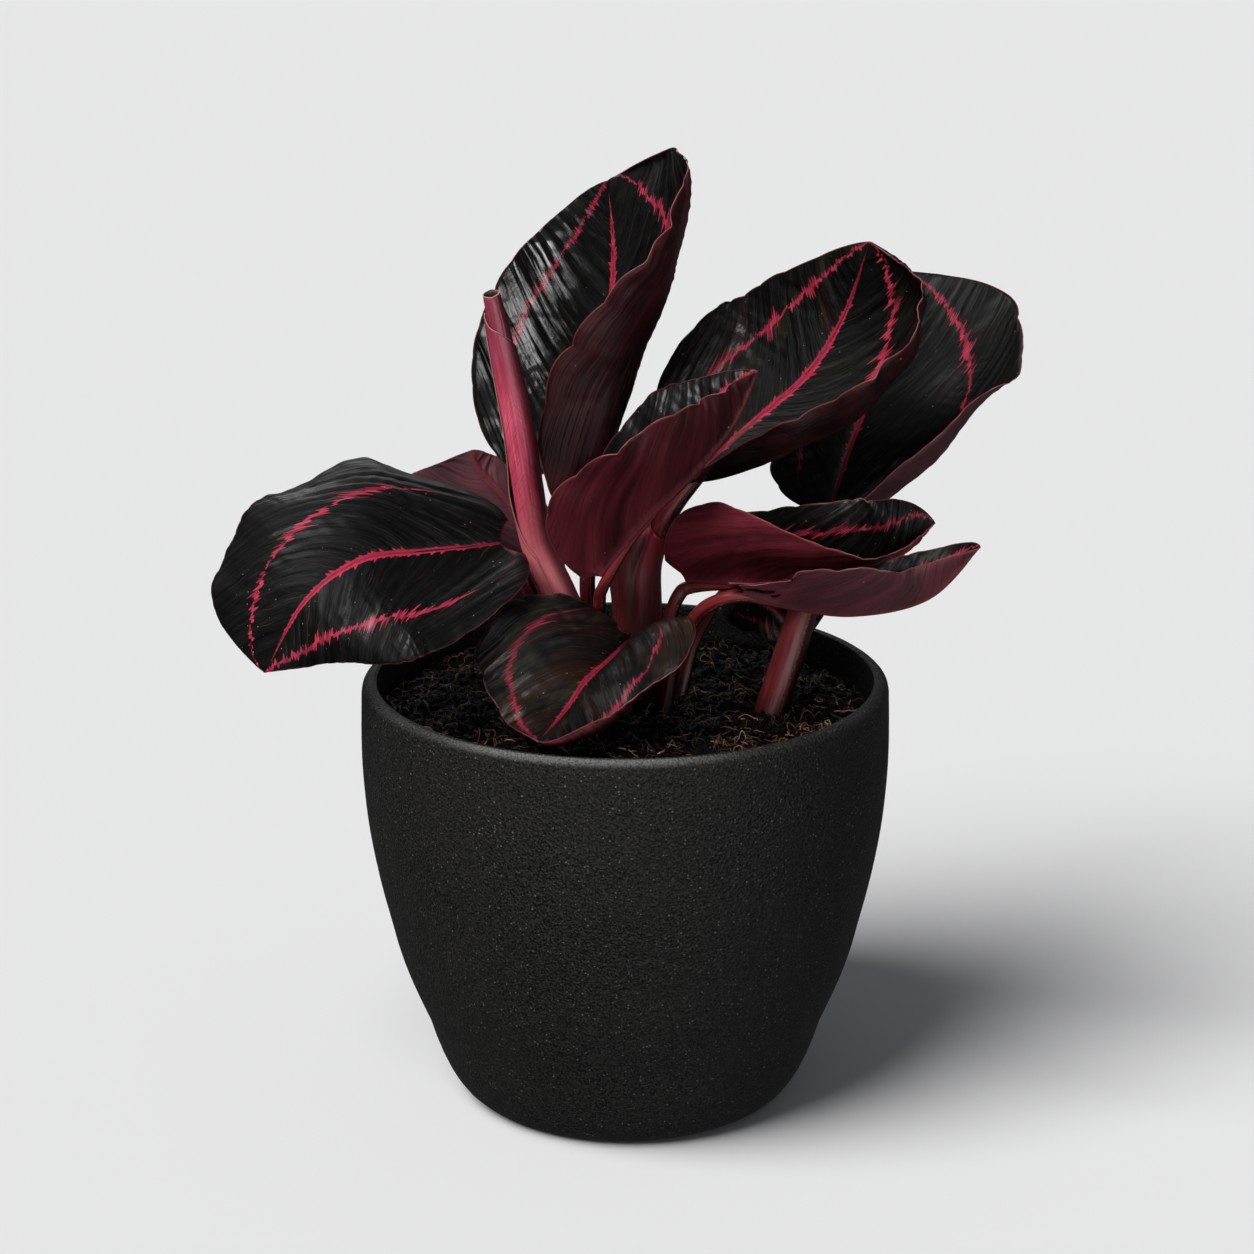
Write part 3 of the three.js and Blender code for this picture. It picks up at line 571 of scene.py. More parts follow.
LEAVES = {
    "left_leaf": Leaf(
        midrib=[
            [-42, -5, 197], [-67, -18, 198], [-87, -29, 198], [-105, -36, 186], [-119, -35, 161],
        ],
        up=[[-0.3, -0.7, 0.6], [-0.1, -0.8, 0.6], [0.1, -0.7, 0.7]],
        left=Half(
            width=42, widest=0.4, lobe=0.18, point=1.2, back=6, sweep=0.09,
            bend=[[-5, 30, 20], [0, 10, -10], [10, 0, -30]], wave=[0.8, 3, 0.2],
        ),
        right=Half(
            width=47, widest=0.43, lobe=0.23, point=0.44, back=7, sweep=0.09,
            bend=[[20, 0, -55], [10, -20, -45], [5, -15, -15]], wave=[2.2, 3, 0.5],
            ring=[0.6, 0.5, 0.38],
        ),
        stalk=Stalk(path=[[-35, -2, 185], [-26, 1, 160], [-20, 3, 137]], top=2.2, bottom=2.8),
        marking=1.0, gloss=0.22, haze=0.05, wine=[0.5, 0.5], grey=0,
    ),
    "back_left_leaf": Leaf(
        midrib=[[-25, 19, 174], [-32, 19, 191], [-41, 22, 205], [-50, 26, 214], [-53, 28, 221]],
        up=[[0, 0.9, 0.4], [-0.2, 1, 0], [-0.2, 0.9, -0.4]],
        left=Half(
            width=11, widest=0.4, lobe=0.25, point=0.7, back=0, sweep=0.1,
            bend=[[0, 0, 15], [0, 5, 10], [0, 10, 10]], wave=[0.5, 3, 0],
        ),
        right=Half(
            width=31, widest=0.55, lobe=0.34, point=0.35, back=3, sweep=0.14,
            bend=[[5, 10, 15], [5, -10, 10], [5, 0, 10]], wave=[0.5, 3, 0],
        ),
        stalk=Stalk(path=[[-21, 17, 163], [-16, 17, 150], [-14, 16, 137]], top=1.9, bottom=2.6),
        marking=0.9, gloss=0.3, haze=0.1, wine=[0.85, 0.75], grey=0.8,
    ),
    "tall_leaf": Leaf(
        midrib=[[-10, -2, 224], [-7, 15, 245], [-5, 28, 267], [-4, 40, 290], [-6, 52, 310]],
        up=[[-0.6, -0.6, 0.5], [-0.2, -0.9, 0.4], [0.1, -1, 0.3]],
        left=Half(
            width=48, widest=0.32, lobe=0.49, point=0.77, back=2, sweep=-0.05,
            bend=[[-35, 25, 35], [-10, 20, 15], [25, 20, 5]], wave=[1, 3, 0],
            ring=[0.85, 0.8, 0.68, 0.5, 0.3],
        ),
        right=Half(
            width=54, widest=0.44, lobe=0.34, point=0.31, back=18, sweep=0.2,
            bend=[[-35, 150, 165], [10, 60, 125], [75, 35, 90]], wave=[1.5, 4, 0],
            ring=[0.62, 0.6, 0.58, 0.48, 0.35], frill=2.4,
        ),
        stalk=Stalk(
            path=[[-10, 3, 205], [-13, 10, 178], [-10, 18, 150], [-7, 19, 137]],
            top=2.4, bottom=3,
        ),
        # its underside's dark base (wine 0.02) is painted shade
        marking=1.0, gloss=1.1, haze=0.12, wine=[0.02, 0.5], grey=0,
    ),
    "folded_leaf": Leaf(
        midrib=[[-8, -25, 192], [6, -29, 211], [22, -31, 228], [35, -29, 244], [43, -26, 261]],
        up=[[-0.8, 0.3, 0.6], [-0.9, 0, 0.5], [-0.9, -0.1, 0.5]],
        left=Half(
            width=31, widest=0.45, lobe=0.3, point=0.8, back=8, sweep=0.08,
            bend=[[55, 60, 60], [55, 55, 50], [60, 50, 40]], wave=[0.6, 4, 0],
            ring=[0.5, 0.45, 0.5], frill=1.2,
        ),
        right=Half(
            width=32, widest=0.21, lobe=0.12, point=1, back=5, sweep=0.05,
            bend=[[60, 70, 75], [50, 55, 75], [50, 60, 80]], wave=[1.2, 4, 0.3], frill=1.9,
        ),
        stalk=Stalk(
            path=[
                [-7.5, -21, 186], [-8.5, -14, 181], [-8.5, -8, 170], [-6, -9, 155], [-6, -10, 137],
            ],
            top=1.9, bottom=2.4,
        ),
        marking=0.9, gloss=0.25, haze=0.05, wine=[0.55, 0.24], grey=0,
    ),
    "right_leaf": Leaf(
        midrib=[[21, 3, 217], [42, 8, 235], [61, 9, 252], [73, 7, 273], [80, -3, 299]],
        up=[[-0.4, -0.8, 0.4], [-0.2, -0.8, 0.5], [0, -0.9, 0.5]],
        left=Half(
            width=40, widest=0.35, lobe=0.02, point=0.82, back=2, sweep=0,
            bend=[[10, 10, 10], [10, 0, -5], [10, -5, -25]], wave=[1, 3, 0], ring=[0.6, 0.56, 0.56],
        ),
        right=Half(
            width=44, widest=0.45, lobe=0.06, point=0.71, back=-6, sweep=0.31,
            bend=[[-5, 45, 170], [-15, 20, 140], [-25, 10, 130]], wave=[1.5, 5, 0],
            ring=[0.5, 0.46, 0.4], frill=1.4,
        ),
        stalk=Stalk(
            path=[[14, 4, 204], [9.5, 6, 193], [6, 8, 181], [4, 10, 160], [4, 10, 137]],
            top=3, bottom=5.2,
        ),
        marking=1.0, gloss=0.25, haze=0.6, wine=[0, 0.12], grey=0,
    ),
    "back_right_leaf": Leaf(
        midrib=[[69, 9, 204], [76, 20, 222], [83, 29, 239], [88, 34, 258], [91, 31, 283]],
        up=[[-0.2, -0.9, 0.4], [-0.2, -1, 0.2], [0, -1, 0]],
        left=Half(
            width=29, widest=0.42, lobe=0.17, point=0.76, back=0, sweep=-0.12,
            bend=[[-5, -20, -10], [5, -10, -10], [15, 5, -10]], wave=[1, 3, 0], frill=1.3,
        ),
        right=Half(
            width=55, widest=0.41, lobe=0.16, point=0.57, back=0, sweep=0.27,
            bend=[[25, 10, 160], [20, 15, 70], [0, -10, -15]], wave=[1.5, 3, 0.3],
            ring=[0.62, 0.64, 0.52], frill=1.3,
        ),
        stalk=Stalk(path=[[66.5, 10, 193], [59, 0, 167], [49, -8, 137]], top=4, bottom=5.8),
        marking=0.9, gloss=0.05, haze=0.2, wine=[0.3, 0.5], grey=0.5,
    ),
    "low_right_leaf": Leaf(
        midrib=[[21, -3, 184], [44, -14, 186], [66, -20, 190], [88, -20, 196], [103, -15, 207]],
        up=[[0.2, -0.2, 1], [0.3, -0.4, 0.9], [0.2, -0.7, 0.7], [0, -0.8, 0.6]],
        left=Half(
            width=26, widest=0.51, lobe=0.69, point=0.52, back=-1, sweep=0.1,
            bend=[[65, 85, 50], [50, 65, 35], [35, 40, 20]], wave=[0.8, 3, 0],
        ),
        right=Half(
            width=35, widest=0.22, lobe=0.2, point=1.5, back=7, sweep=0.09,
            bend=[[70, 70, 115], [65, 60, 110], [70, 70, 115]], wave=[1, 3, 0],
        ),
        stalk=Stalk(
            path=[[18, -4.5, 178.5], [15, -5, 170], [13, -5, 158], [12, -5, 137]],
            top=2.3, bottom=2.5,
        ),
        marking=0.9, gloss=0.4, haze=0.2, wine=[0.9, 0.8], grey=0,
    ),
    "boat_leaf": Leaf(
        midrib=[[39, -34, 189], [54, -33, 184], [75, -39, 183], [98, -45, 190], [114, -52, 209]],
        up=[[-0.5, -0.5, 0.7], [-0.1, -0.2, 1], [0.3, 0, 0.9]],
        left=Half(
            width=16, widest=0.66, lobe=0.02, point=0.6, back=6, sweep=0.03,
            bend=[[85, 130, 25], [75, 100, 45], [50, 45, 70]], wave=[0.8, 3, 0],
        ),
        right=Half(
            width=28, widest=0.41, lobe=0.2, point=1.34, back=3, sweep=0.06,
            bend=[[80, 65, 65], [60, 50, 70], [40, 30, 70]], wave=[0.6, 4, 0],
        ),
        stalk=Stalk(
            path=[[31, -30, 184.5], [24, -21, 176.5], [17, -13, 160], [13, -13, 137]],
            top=2.3, bottom=2.6,
        ),
        marking=0.8, gloss=0.12, haze=0.2, wine=[1.0, 0.45], grey=0.6,
    ),
    "small_leaf": Leaf(
        midrib=[[39, 26, 172], [45, 29, 168], [51, 32, 164], [57, 33, 158], [64, 33, 152]],
        up=[[-0.3, -0.9, 0.1], [-0.3, -0.9, 0.1], [-0.2, -1, 0.2]],
        left=Half(
            width=18, widest=0.6, lobe=0.28, point=0.6, back=6, sweep=0.17,
            bend=[[30, 50, 15], [20, 30, 5], [5, 5, -5]], wave=[0.5, 3, 0],
        ),
        right=Half(
            width=13, widest=0.38, lobe=0.28, point=0.86, back=5, sweep=0.02,
            bend=[[15, 15, 15], [5, 5, 5], [0, -5, 0]], wave=[0.5, 3, 0],
        ),
        stalk=Stalk(path=[[33, 29, 168], [24, 17, 155], [19, 9, 137]], top=1.7, bottom=2.2),
        marking=0.7, gloss=0.3, haze=0.3, wine=[0.4, 0.4], grey=0,
    ),
    "front_leaf": Leaf(
        midrib=[[2, -12, 166], [-5, -26, 163], [-13, -38, 159], [-20, -49, 152], [-28, -64, 147]],
        up=[[0, -0.5, 0.9], [-0.1, -0.6, 0.8], [-0.4, -0.7, 0.6]],
        left=Half(
            width=32, widest=0.3, lobe=0.12, point=0.5, back=4, sweep=-0.1,
            bend=[[50, 55, 10], [32, 10, 50], [10, -60, 170]], wave=[1, 2, 0],
        ),
        right=Half(
            width=39, widest=0.48, lobe=0.12, point=1, back=-3, sweep=0.05,
            bend=[[35, 50, 10], [15, 15, 10], [-5, -5, 15]], wave=[1.3, 3, 0],
            ring=[0.66, 0.66, 0.66], frill=1.6,
        ),
        stalk=Stalk(path=[[1, -11, 152], [1, -11, 137]], top=1.9, bottom=2.4),
        marking=0.55, gloss=0.18, haze=0.85, wine=[0.75, 0.75], grey=0,
    ),
}
BLADE_ROWS = 150
BLADE_COLUMNS = 36
BLADE_THICKNESS = 0.5
VEIN_SPACING = 8
VEIN_SLANT = 0.9
VEIN_BEND = 0.018
LOBE_LENGTH = 10.5
RING_SHIFT = 1.1
RING_TOOTH = 3.4
RIB_WIDTH = 1.15
RIB_BARB = 1.6
PLEAT_HEIGHT = 0.42


def hump(x, middle, width):
    """1 in the middle, falling off to both sides within the width."""
    return np.exp(-(((x - middle) / width) ** 2))


def direction(rows, t):
    """Which way the curve runs at t, and past its ends the way that it runs there."""
    t = np.clip(t, 0, 1)
    return unit(through(rows, t + 0.001) - through(rows, t - 0.001))


def run(numbers, t):
    """The smooth course of single numbers, at each t from 0 to 1."""
    return through(np.transpose([numbers]), t)[..., 0]


def length_of(rows):
    return np.linalg.norm(np.diff(through(rows, np.linspace(0, 1, 41)), axis=0), axis=1).sum()


def frame_at(leaf, t):
    """The midrib's point at t, its direction, and the ways right and up."""
    along = direction(leaf.midrib, t)
    right = unit(np.cross(along, through(leaf.up, t)))
    up = np.cross(right, along)
    past = np.minimum(t, 0)[..., None] * length_of(leaf.midrib)
    return through(leaf.midrib, t) + past * along, along, right, up


def half_width(half, t):
    """How wide a half is at each t."""
    rise = np.sqrt(np.clip(1 - (1 - np.clip(t / half.widest, 0, 1)) ** 2, 0, 1))
    near = half.lobe + (1 - half.lobe) * rise
    rest = np.clip((t - half.widest) / (1 - half.widest), 0, 1)
    return half.width * np.where(t < half.widest, near, (1 - rest**2) ** half.point)


def cross_section(bends, q):
    """Where a half's section reaches at q, for unit width, and how steep it is there."""
    share = 1 / (len(bends) - 1)
    across, rise, angle = 0, 0, np.radians(bends[0])
    for k in range(len(bends) - 1):
        start = np.radians(bends[k])
        turn = np.radians(bends[k + 1]) - start
        turn = np.where(np.abs(turn) < 1e-6, 1e-6, turn)
        f = np.clip(q / share - k, 0, 1)
        across = across + share * (np.sin(start + turn * f) - np.sin(start)) / turn
        rise = rise + share * (np.cos(start) - np.cos(start + turn * f)) / turn
        angle = np.where(f > 0, start + turn * f, angle)
    return across, rise, angle


def notches(half, down):
    """How far the margin is cut in, in rounded lobes with sharp notches between them."""
    seed = int(10 * half.width + 100 * half.widest)
    own = np.random.default_rng(seed).uniform(0.3, 1.5, 40)
    lobe = down / LOBE_LENGTH + 0.35 * waves(down, 0, 45, seed)
    depth = np.interp(lobe % 40, np.arange(40), own)
    return half.frill * depth * (1 - np.abs(np.sin(np.pi * lobe)) ** 0.7)


def blade_half(leaf, side, t, q):
    """The middle surface of one half, at t along and q from the midrib to the margin."""
    half = leaf.right if side > 0 else leaf.left
    length = length_of(leaf.midrib)
    forward = half.sweep * 4 * t * (1 - t) - half.back / length * (1 - t) ** 4
    point, _, right, up = frame_at(leaf, np.minimum(t + forward * q**1.5, 1))
    width = half_width(half, t)
    bends = [run(column, t) for column in zip(*half.bend)]
    across, rise, angle = cross_section(bends, q)
    height, number, phase = half.wave
    fade = np.minimum(1, np.minimum(6 * t, 5 * (1 - t)))
    wave = height * fade * q**2.5 * np.sin(2 * np.pi * (number * t + phase))
    cut = np.minimum(notches(half, t * length) * fade * q**6, 0.3 * width)
    sideways = side * (width * across - wave * np.sin(angle) - cut * np.cos(angle))
    upward = width * rise + wave * np.cos(angle) - cut * np.sin(angle)
    return point + sideways[..., None] * right + upward[..., None] * up


def blade_grid(leaf):
    """The blade's middle surface as a grid, and what its material and relief need at each point."""
    even = np.arange(BLADE_ROWS) / BLADE_ROWS
    t = (even + (1 - np.cos(np.pi * even)) / 2) / 2
    t = 1 - (1 - t) ** 1.15
    s = np.linspace(0, 1, BLADE_COLUMNS + 1)
    q = 0.65 * s + 0.35 * s**2
    tt, qq = np.meshgrid(t, q, indexing="ij")
    halves = [blade_half(leaf, side, tt, qq) for side in (-1, 1)]
    points = np.concatenate([halves[0][:, ::-1], halves[1][:, 1:]], 1)
    signed = np.concatenate([-qq[:, ::-1], qq[:, 1:]], 1)
    along = np.concatenate([tt, tt[:, 1:]], 1)
    width = np.where(signed < 0, half_width(leaf.left, along), half_width(leaf.right, along))
    return points, along, signed, width


def grid_normals(points):
    """The way the upper face looks, at each point of a grid."""
    rows = np.gradient(points, axis=0)
    columns = np.gradient(points, axis=1)
    return unit(np.cross(columns, rows))


def vein_place(from_midrib, down):
    """Counts the side veins, which leave the midrib at a slant and bend on towards the tip."""
    return (down - VEIN_SLANT * from_midrib - VEIN_BEND * from_midrib**2) / VEIN_SPACING


def blade_relief(leaf, along, signed, width, length, number):
    """How far the surface stands up from its middle: pleats between side veins, and buckles."""
    q = np.abs(signed)
    veins = vein_place(q * width, along * length)
    own = np.random.default_rng(number).uniform(0.3, 1.4, 80)
    pleat = 0.5 - 0.5 * np.cos(2 * np.pi * veins) - 0.25 * np.cos(4 * np.pi * veins)
    strength = np.interp(veins % 80, np.arange(80) + 0.5, own)
    spread = smoothstep(0.02, 0.25, q) * (1 - 0.45 * smoothstep(0.7, 1, q))
    ends = np.minimum(1, np.minimum(8 * along, 8 * (1 - along)))
    x, y = signed * width, along * length
    buckle = waves(x, y * 1.7, 30, number + 20) + 0.5 * waves(x, y * 2, 12, number + 40)
    frill = np.where(signed < 0, leaf.left.frill, leaf.right.frill)
    ripple = 0.7 * frill * waves(x * 0.25, y, 12, number + 60) * q**5
    rise = PLEAT_HEIGHT * pleat * strength * spread + 0.45 * buckle * smoothstep(0.05, 0.4, q)
    painted_fold_shade = -0.5 * hump(x, 0, 1.4) * (1 - along) ** 0.5
    return (rise + ripple) * ends + painted_fold_shade * np.minimum(1, 12 * along)


def ring_place(leaf, along, signed, width, length, number):
    """How far each point lies outside the ring's middle line, and how thick the ring is there."""
    q = np.abs(signed)
    share = np.where(signed < 0, *[run(half.ring, along) for half in (leaf.left, leaf.right)])
    veins = vein_place(q * width, along * length) + 30 * np.sign(signed)
    meander = 0.9 * waves(veins, 0, 1.5, number + 80) + 0.6 * waves(veins, 0, 0.6, number + 90)
    fade = smoothstep(0.1, 0.34, along) * (1 - 0.6 * smoothstep(0.82, 1, along))
    swell = 0.75 * waves(veins, 0, 3, number + 70) + 0.3 * waves(veins, 0, 0.9, number + 75)
    thick = np.maximum(0.75 + swell, 0.25)
    return q * width - share * width - meander * fade, thick * fade


def rib_depth(x, along):
    """How far the midrib stands out below the blade."""
    depth, width = 0.35 + 1.0 * (1 - along), 0.7 + 1.1 * (1 - along)
    return depth * hump(x, 0, width) * smoothstep(1, 0.9, along)


def veins_group():
    """The side veins: fine lines, broad bands, flat panels tilted a little and small crinkles."""
    outputs = ["Lines", "Bands", "Panels", "Crinkle"]
    tree, given, result = new_group("side veins", {"Fineness": 3.0}, outputs)
    vein, reach = values_at(tree, "vein"), values_at(tree, "reach")
    place = vein[0], reach[0], vein[2]
    join(noise_on(*place, (0.5, 0.03)), result["Bands"])
    join(noise_on(*place, (1.7, 0.05), 2.0), result["Panels"])
    join(noise_on(*place, (9.0, 0.38), 5.0, 0.6), result["Crinkle"])
    warped = vein[0] * given["Fineness"] + noise_on(*place, (2.2, 0.035), 4.0, 0.6) * 3.0
    wave = abs(calc("SINE", warped * math.pi))
    join(ramp(wave, 0.0, 0.22, 1.0, 0.0), result["Lines"])
    return tree


def strokes_group():
    """The pink ring and the pink midrib, both with short pointed teeth along the side veins."""
    tree, given, result = new_group("pink strokes", {"Teeth": 5.2}, ["Ring", "Midrib", "Shade"])
    names = ("vein", "place", "reach", "ring")
    vein, place, reach, ring = [values_at(tree, name) for name in names]
    count = vein[0] * given["Teeth"]
    taper = 1 - calc("POWER", abs(calc("FRACT", count) * 2 - 1), 1.3)
    seed = put(tree, "CombineXYZ", {0: calc("FLOOR", count), 1: vein[1], 2: vein[2]})[0]
    chance = put(tree, "TexWhiteNoise", {"Vector": seed}, noise_dimensions="3D")["Color"]
    rolls = put(tree, "SeparateColor", {0: chance})
    from_ring = ring[0] + (rolls[2] - 0.5) * RING_SHIFT
    teeth = [calc("POWER", rolls[k], 1.6) * (taper * RING_TOOTH) + 0.5 for k in (0, 1)]
    outer, inner = [tooth * ring[1] for tooth in teeth]
    past_ring = calc("MAXIMUM", from_ring - outer, from_ring * -1 - inner)
    join(ramp(past_ring, -0.12, 0.1, 1.0, 0.0), result["Ring"])
    swells = tree.nodes.new("ShaderNodeValToRGB")
    join(place[0], swells.inputs[0])
    profile = [(0, 0.35), (0.2, 0.75), (0.5, 1.0), (0.78, 0.6), (0.92, 0.2), (0.97, 0)]
    while len(swells.color_ramp.elements) < len(profile):
        swells.color_ramp.elements.new(0.5)
    for element, (along, width) in zip(swells.color_ramp.elements, profile):
        element.position = along
        element.color = (width, width, width, 1)
    barb = calc("POWER", rolls[0], 3) * (taper * RIB_BARB)
    past_rib = reach[0] - (barb + RIB_WIDTH) * Value(tree, swells.outputs[0])
    join(ramp(past_rib, -0.15, 0.12, 1.0, 0.0), result["Midrib"])
    join(rolls[2], result["Shade"])
    return tree


VEINS = veins_group()
STROKES = strokes_group()


def face_material():
    """The upper face: near black, glossy in crinkled panels between the side veins, with faint pale
    scratches, and a pink ring and midrib."""
    sockets = {"Specular_IOR_Level": 0.1, "Coat_Roughness": 0.24, "Coat_IOR": 1.75}
    material, tree = new_material("leaf upper face", **sockets)
    veins = use_group(tree, VEINS, Fineness=3.0)
    strokes = use_group(tree, STROKES, Teeth=4.6)
    names = ("vein", "place", "reach", "nature")
    vein, place, reach, nature = [values_at(tree, name) for name in names]
    gloss, haze, shown = nature[0], nature[1], place[2]
    patch = noise_on(vein[0], reach[0], vein[2], (0.35, 0.09), 4.0, 0.65)
    scratch = abs(calc("SINE", (vein[0] + noise(tree, 70, 2.0) * 1.2) * math.pi))
    scratch = ramp(scratch, 0.0, 0.07, 1.0, 0.0) * ramp(noise(tree, 110), 0.47, 0.62)
    pink = blend(strokes["Shade"], "8a1c34", "cb3d5a")
    rib = blend(ramp(reach[0], 0.1, 0.5, 0.5, 0.0), "c23350", "74172a")
    rib = blend(ramp(place[0], 0.02, 0.22, 0.7, 0.0), rib, "5c1420")
    base = layers(
        blend(ramp(veins["Panels"], 0.35, 0.65), "050605", "0e0f0e"),
        (ramp(veins["Bands"], 0.45, 0.72) * haze, "2c130e"),
        (ramp(patch, 0.54, 0.7) * haze, "2c2817"),
        (veins["Lines"] * ramp(veins["Crinkle"], 0.42, 0.7, 0.0, 0.4), "221e1d"),
        (scratch * 0.5, "66473c"),
        (strokes["Ring"] * ramp(veins["Crinkle"], 0.25, 0.5, 0.6, 1.0) * shown, pink),
        (strokes["Midrib"] * shown, rib),
        (ramp(reach[1], 0.12, 0.5, 0.8, 0.0), "6a2a2e"),
    )
    base = dust_and_glint_specks(base, "b8b2ac", strength=0.7, per_metre=520.0, share=0.26, size=0.08)
    silk = ramp(veins["Panels"], 0.44, 0.58) * ramp(veins["Bands"], 0.4, 0.6, 0.2, 1.0)
    silk = silk * ramp(veins["Crinkle"], 0.36, 0.56, 0.25, 1.0)
    silk = silk * ramp(abs(place[1]), 0.25, 0.7, 0.15, 1.0)
    height = veins["Panels"] * (gloss * 1.3 + 0.45) + veins["Crinkle"] * (gloss * 0.6)
    height = height - veins["Lines"] * 0.05
    rough = ramp(veins["Crinkle"], 0.3, 0.7, 0.4, 0.55)
    return dress(material, base, rough, relief(height, 0.0012), silk * gloss)


def underside_material():
    """The underside: wine red with a faint bloom, in broad soft bands, with a paler midrib."""
    sockets = {"Specular_IOR_Level": 0.07, "Sheen_Weight": 0.05, "Sheen_Roughness": 0.4}
    material, tree = new_material("leaf underside", **sockets, Sheen_Tint=colour("b092a0"))
    veins = use_group(tree, VEINS, Fineness=2.4)
    reach, bright = values_at(tree, "reach"), values_at(tree, "nature")[2]
    # bright is the wine value: the underside's own colour, and painted shade where it is set darker
    deep, clear = blend(bright, "0c0203", "4e161f"), blend(bright, "1a0408", "842e3c")
    base = layers(
        blend(ramp(veins["Bands"], 0.36, 0.64), deep, clear),
        (ramp(veins["Panels"], 0.5, 0.72, 0.0, 0.2), deep),
        (veins["Lines"] * ramp(veins["Bands"], 0.42, 0.62, 0.05, 0.5), deep),
        (ramp(noise(tree, 60, 4.0, 0.6), 0.4, 0.7, 0.0, 0.25), "54221f"),
        (values_at(tree, "ring")[2] * 0.7, "584046"),
        (ramp(reach[0], 0.5, 1.3, 0.6, 0.0), "7a3038"),
        (ramp(reach[1], 0.1, 0.5, 0.75, 0.0), "7c3a40"),
    )
    base = dust_and_glint_specks(base, "b9aaa6", strength=0.4, per_metre=300.0, share=0.06, size=0.07)
    height = veins["Bands"] + veins["Crinkle"] * 0.1 + veins["Panels"] * 0.25
    height = height - veins["Lines"] * 0.12
    return dress(material, base, ramp(veins["Crinkle"], 0.3, 0.7, 0.4, 0.52), relief(height, 0.001))


def mottled_material(name, specular, waves_per_metre, detail, dark, pale, rough):
    """A plain skin, mottled in two colours. Rough is its roughness where it is dark and pale."""
    material, tree = new_material(name, Specular_IOR_Level=specular)
    mottle = noise(tree, waves_per_metre, detail)
    base = blend(ramp(mottle, 0.35, 0.65), dark, pale)
    return dress(material, base, ramp(mottle, 0.3, 0.7, *rough))


MARGIN = mottled_material(
    "leaf margin", specular=0.4, waves_per_metre=140, detail=3.0,
    dark="5c2026", pale="a05c5c", rough=(0.4, 0.55),
)
LEAF_MATERIALS = [face_material(), underside_material(), MARGIN]


def add_blade(name, leaf, number):
    """One blade with its two faces and the margin between them, and what its materials read."""
    points, along, signed, width = blade_grid(leaf)
    length = length_of(leaf.midrib)
    q = np.abs(signed)
    normals = grid_normals(points)
    points = points + normals * blade_relief(leaf, along, signed, width, length, number)[..., None]
    normals = grid_normals(points)
    half = BLADE_THICKNESS / 2 * (1 - 0.4 * smoothstep(0.8, 1, q))[..., None]
    rib = rib_depth(signed * width, along)[..., None] * normals
    upper, lower = points + half * normals, points - half * normals - rib
    rows, columns = along.shape
    count = rows * columns
    tip = blade_half(leaf, 1, np.array([1.0]), np.array([0.0]))[0]
    tip_up = normals[-1, columns // 2] * half[-1, columns // 2]
    tips = [tip + tip_up], [tip - tip_up]
    everything = np.concatenate([upper.reshape(-1, 3), lower.reshape(-1, 3), *tips])
    top = np.array(ring_faces(rows, columns, closed=False))
    top_tip, low_tip = 2 * count, 2 * count + 1
    last = (rows - 1) * columns
    faces = top.tolist()
    faces += [[last + j, last + j + 1, top_tip] for j in range(columns - 1)]
    upper_count = len(faces)
    faces += (top[:, ::-1] + count).tolist()
    faces += [[count + last + j + 1, count + last + j, low_tip] for j in range(columns - 1)]
    lower_count = len(faces)
    left = np.arange(rows) * columns
    right = left + columns - 1
    base = np.arange(columns)
    around = [*left[::-1], *base[1:], *right[1:]]
    faces += [[b, a, a + count, b + count] for a, b in zip(around[:-1], around[1:])]
    faces.append([top_tip, last + columns - 1, last + columns - 1 + count, low_tip])
    faces.append([last, top_tip, low_tip, last + count])
    solid = [name + "_blade"]
    piece = add_piece(name + "_lamina", everything, faces, LEAF_MATERIALS, solid)
    kinds = np.searchsorted([upper_count, lower_count], np.arange(len(faces)), side="right")
    piece.data.polygons.foreach_set("material_index", kinds.astype(np.int32))
    to_margin = np.minimum((1 - q) * width, along * length + 0.2)
    side = np.sign(signed)
    wine = leaf.wine[0] + (leaf.wine[1] - leaf.wine[0]) * along
    facts = {
        "vein": [vein_place(q * width, along * length), side, 3 * number + side],
        "place": [along, signed, 0 * along + leaf.marking],
        "reach": [q * width, to_margin, 0 * along],
        "ring": [*ring_place(leaf, along, signed, width, length, number), 0 * along + leaf.grey],
        "nature": [leaf.gloss * (0.7 + 0.9 * along), 0 * along + leaf.haze, wine],
    }
    at_tip = {
        "vein": [length / VEIN_SPACING, 0, 3 * number],
        "place": [1, 0, leaf.marking],
        "reach": [0, 0, 0],
        "ring": [0, 0, leaf.grey],
        "nature": [leaf.gloss, leaf.haze, leaf.wine[1]],
    }
    for key, values in facts.items():
        grid = np.stack(values, -1).reshape(-1, 3)
        point_values(piece, key, np.concatenate([grid, grid, [at_tip[key]] * 2]))


for number, (name, leaf) in enumerate(LEAVES.items(), start=1):
    add_blade(name, leaf, number)

# The leaf stalks: round, firm and wine red, each swollen a little where it meets its blade and
# running on below the blade as its midrib. Their lower ends stand in the soil.

STALK_DEPTH = 25
STALK_RINGS = 90
STALK_SIDES = 24
SEAT_GAP = 0.3
SOLID_BLADE = 0.6  # thickness of the blade in the solid model


def path_axes(path, t):
    """The direction of a path at t, and two ways across it."""
    along = direction(path, t)
    across = unit(np.cross([0, 1, 0], along))
    return along, across, np.cross(along, across)


def stalk_path(leaf):
    """From under the midrib, down through the stalk's own points and into the soil."""
    point, along, _, up = [v[0] for v in frame_at(leaf, np.array([0.0]))]
    seat = point + along - up * (leaf.stalk.top + SOLID_BLADE / 2 + SEAT_GAP)
    path = np.array([seat, *leaf.stalk.path], float)
    return np.array([*path, path[-1] + unit(path[-1] - path[-2]) * STALK_DEPTH])


def thickness_down(stalk, t):
    """The radius of a stalk at each t from its top down."""
    return stalk.top + (stalk.bottom - stalk.top) * np.minimum(1, 1.3 * t)


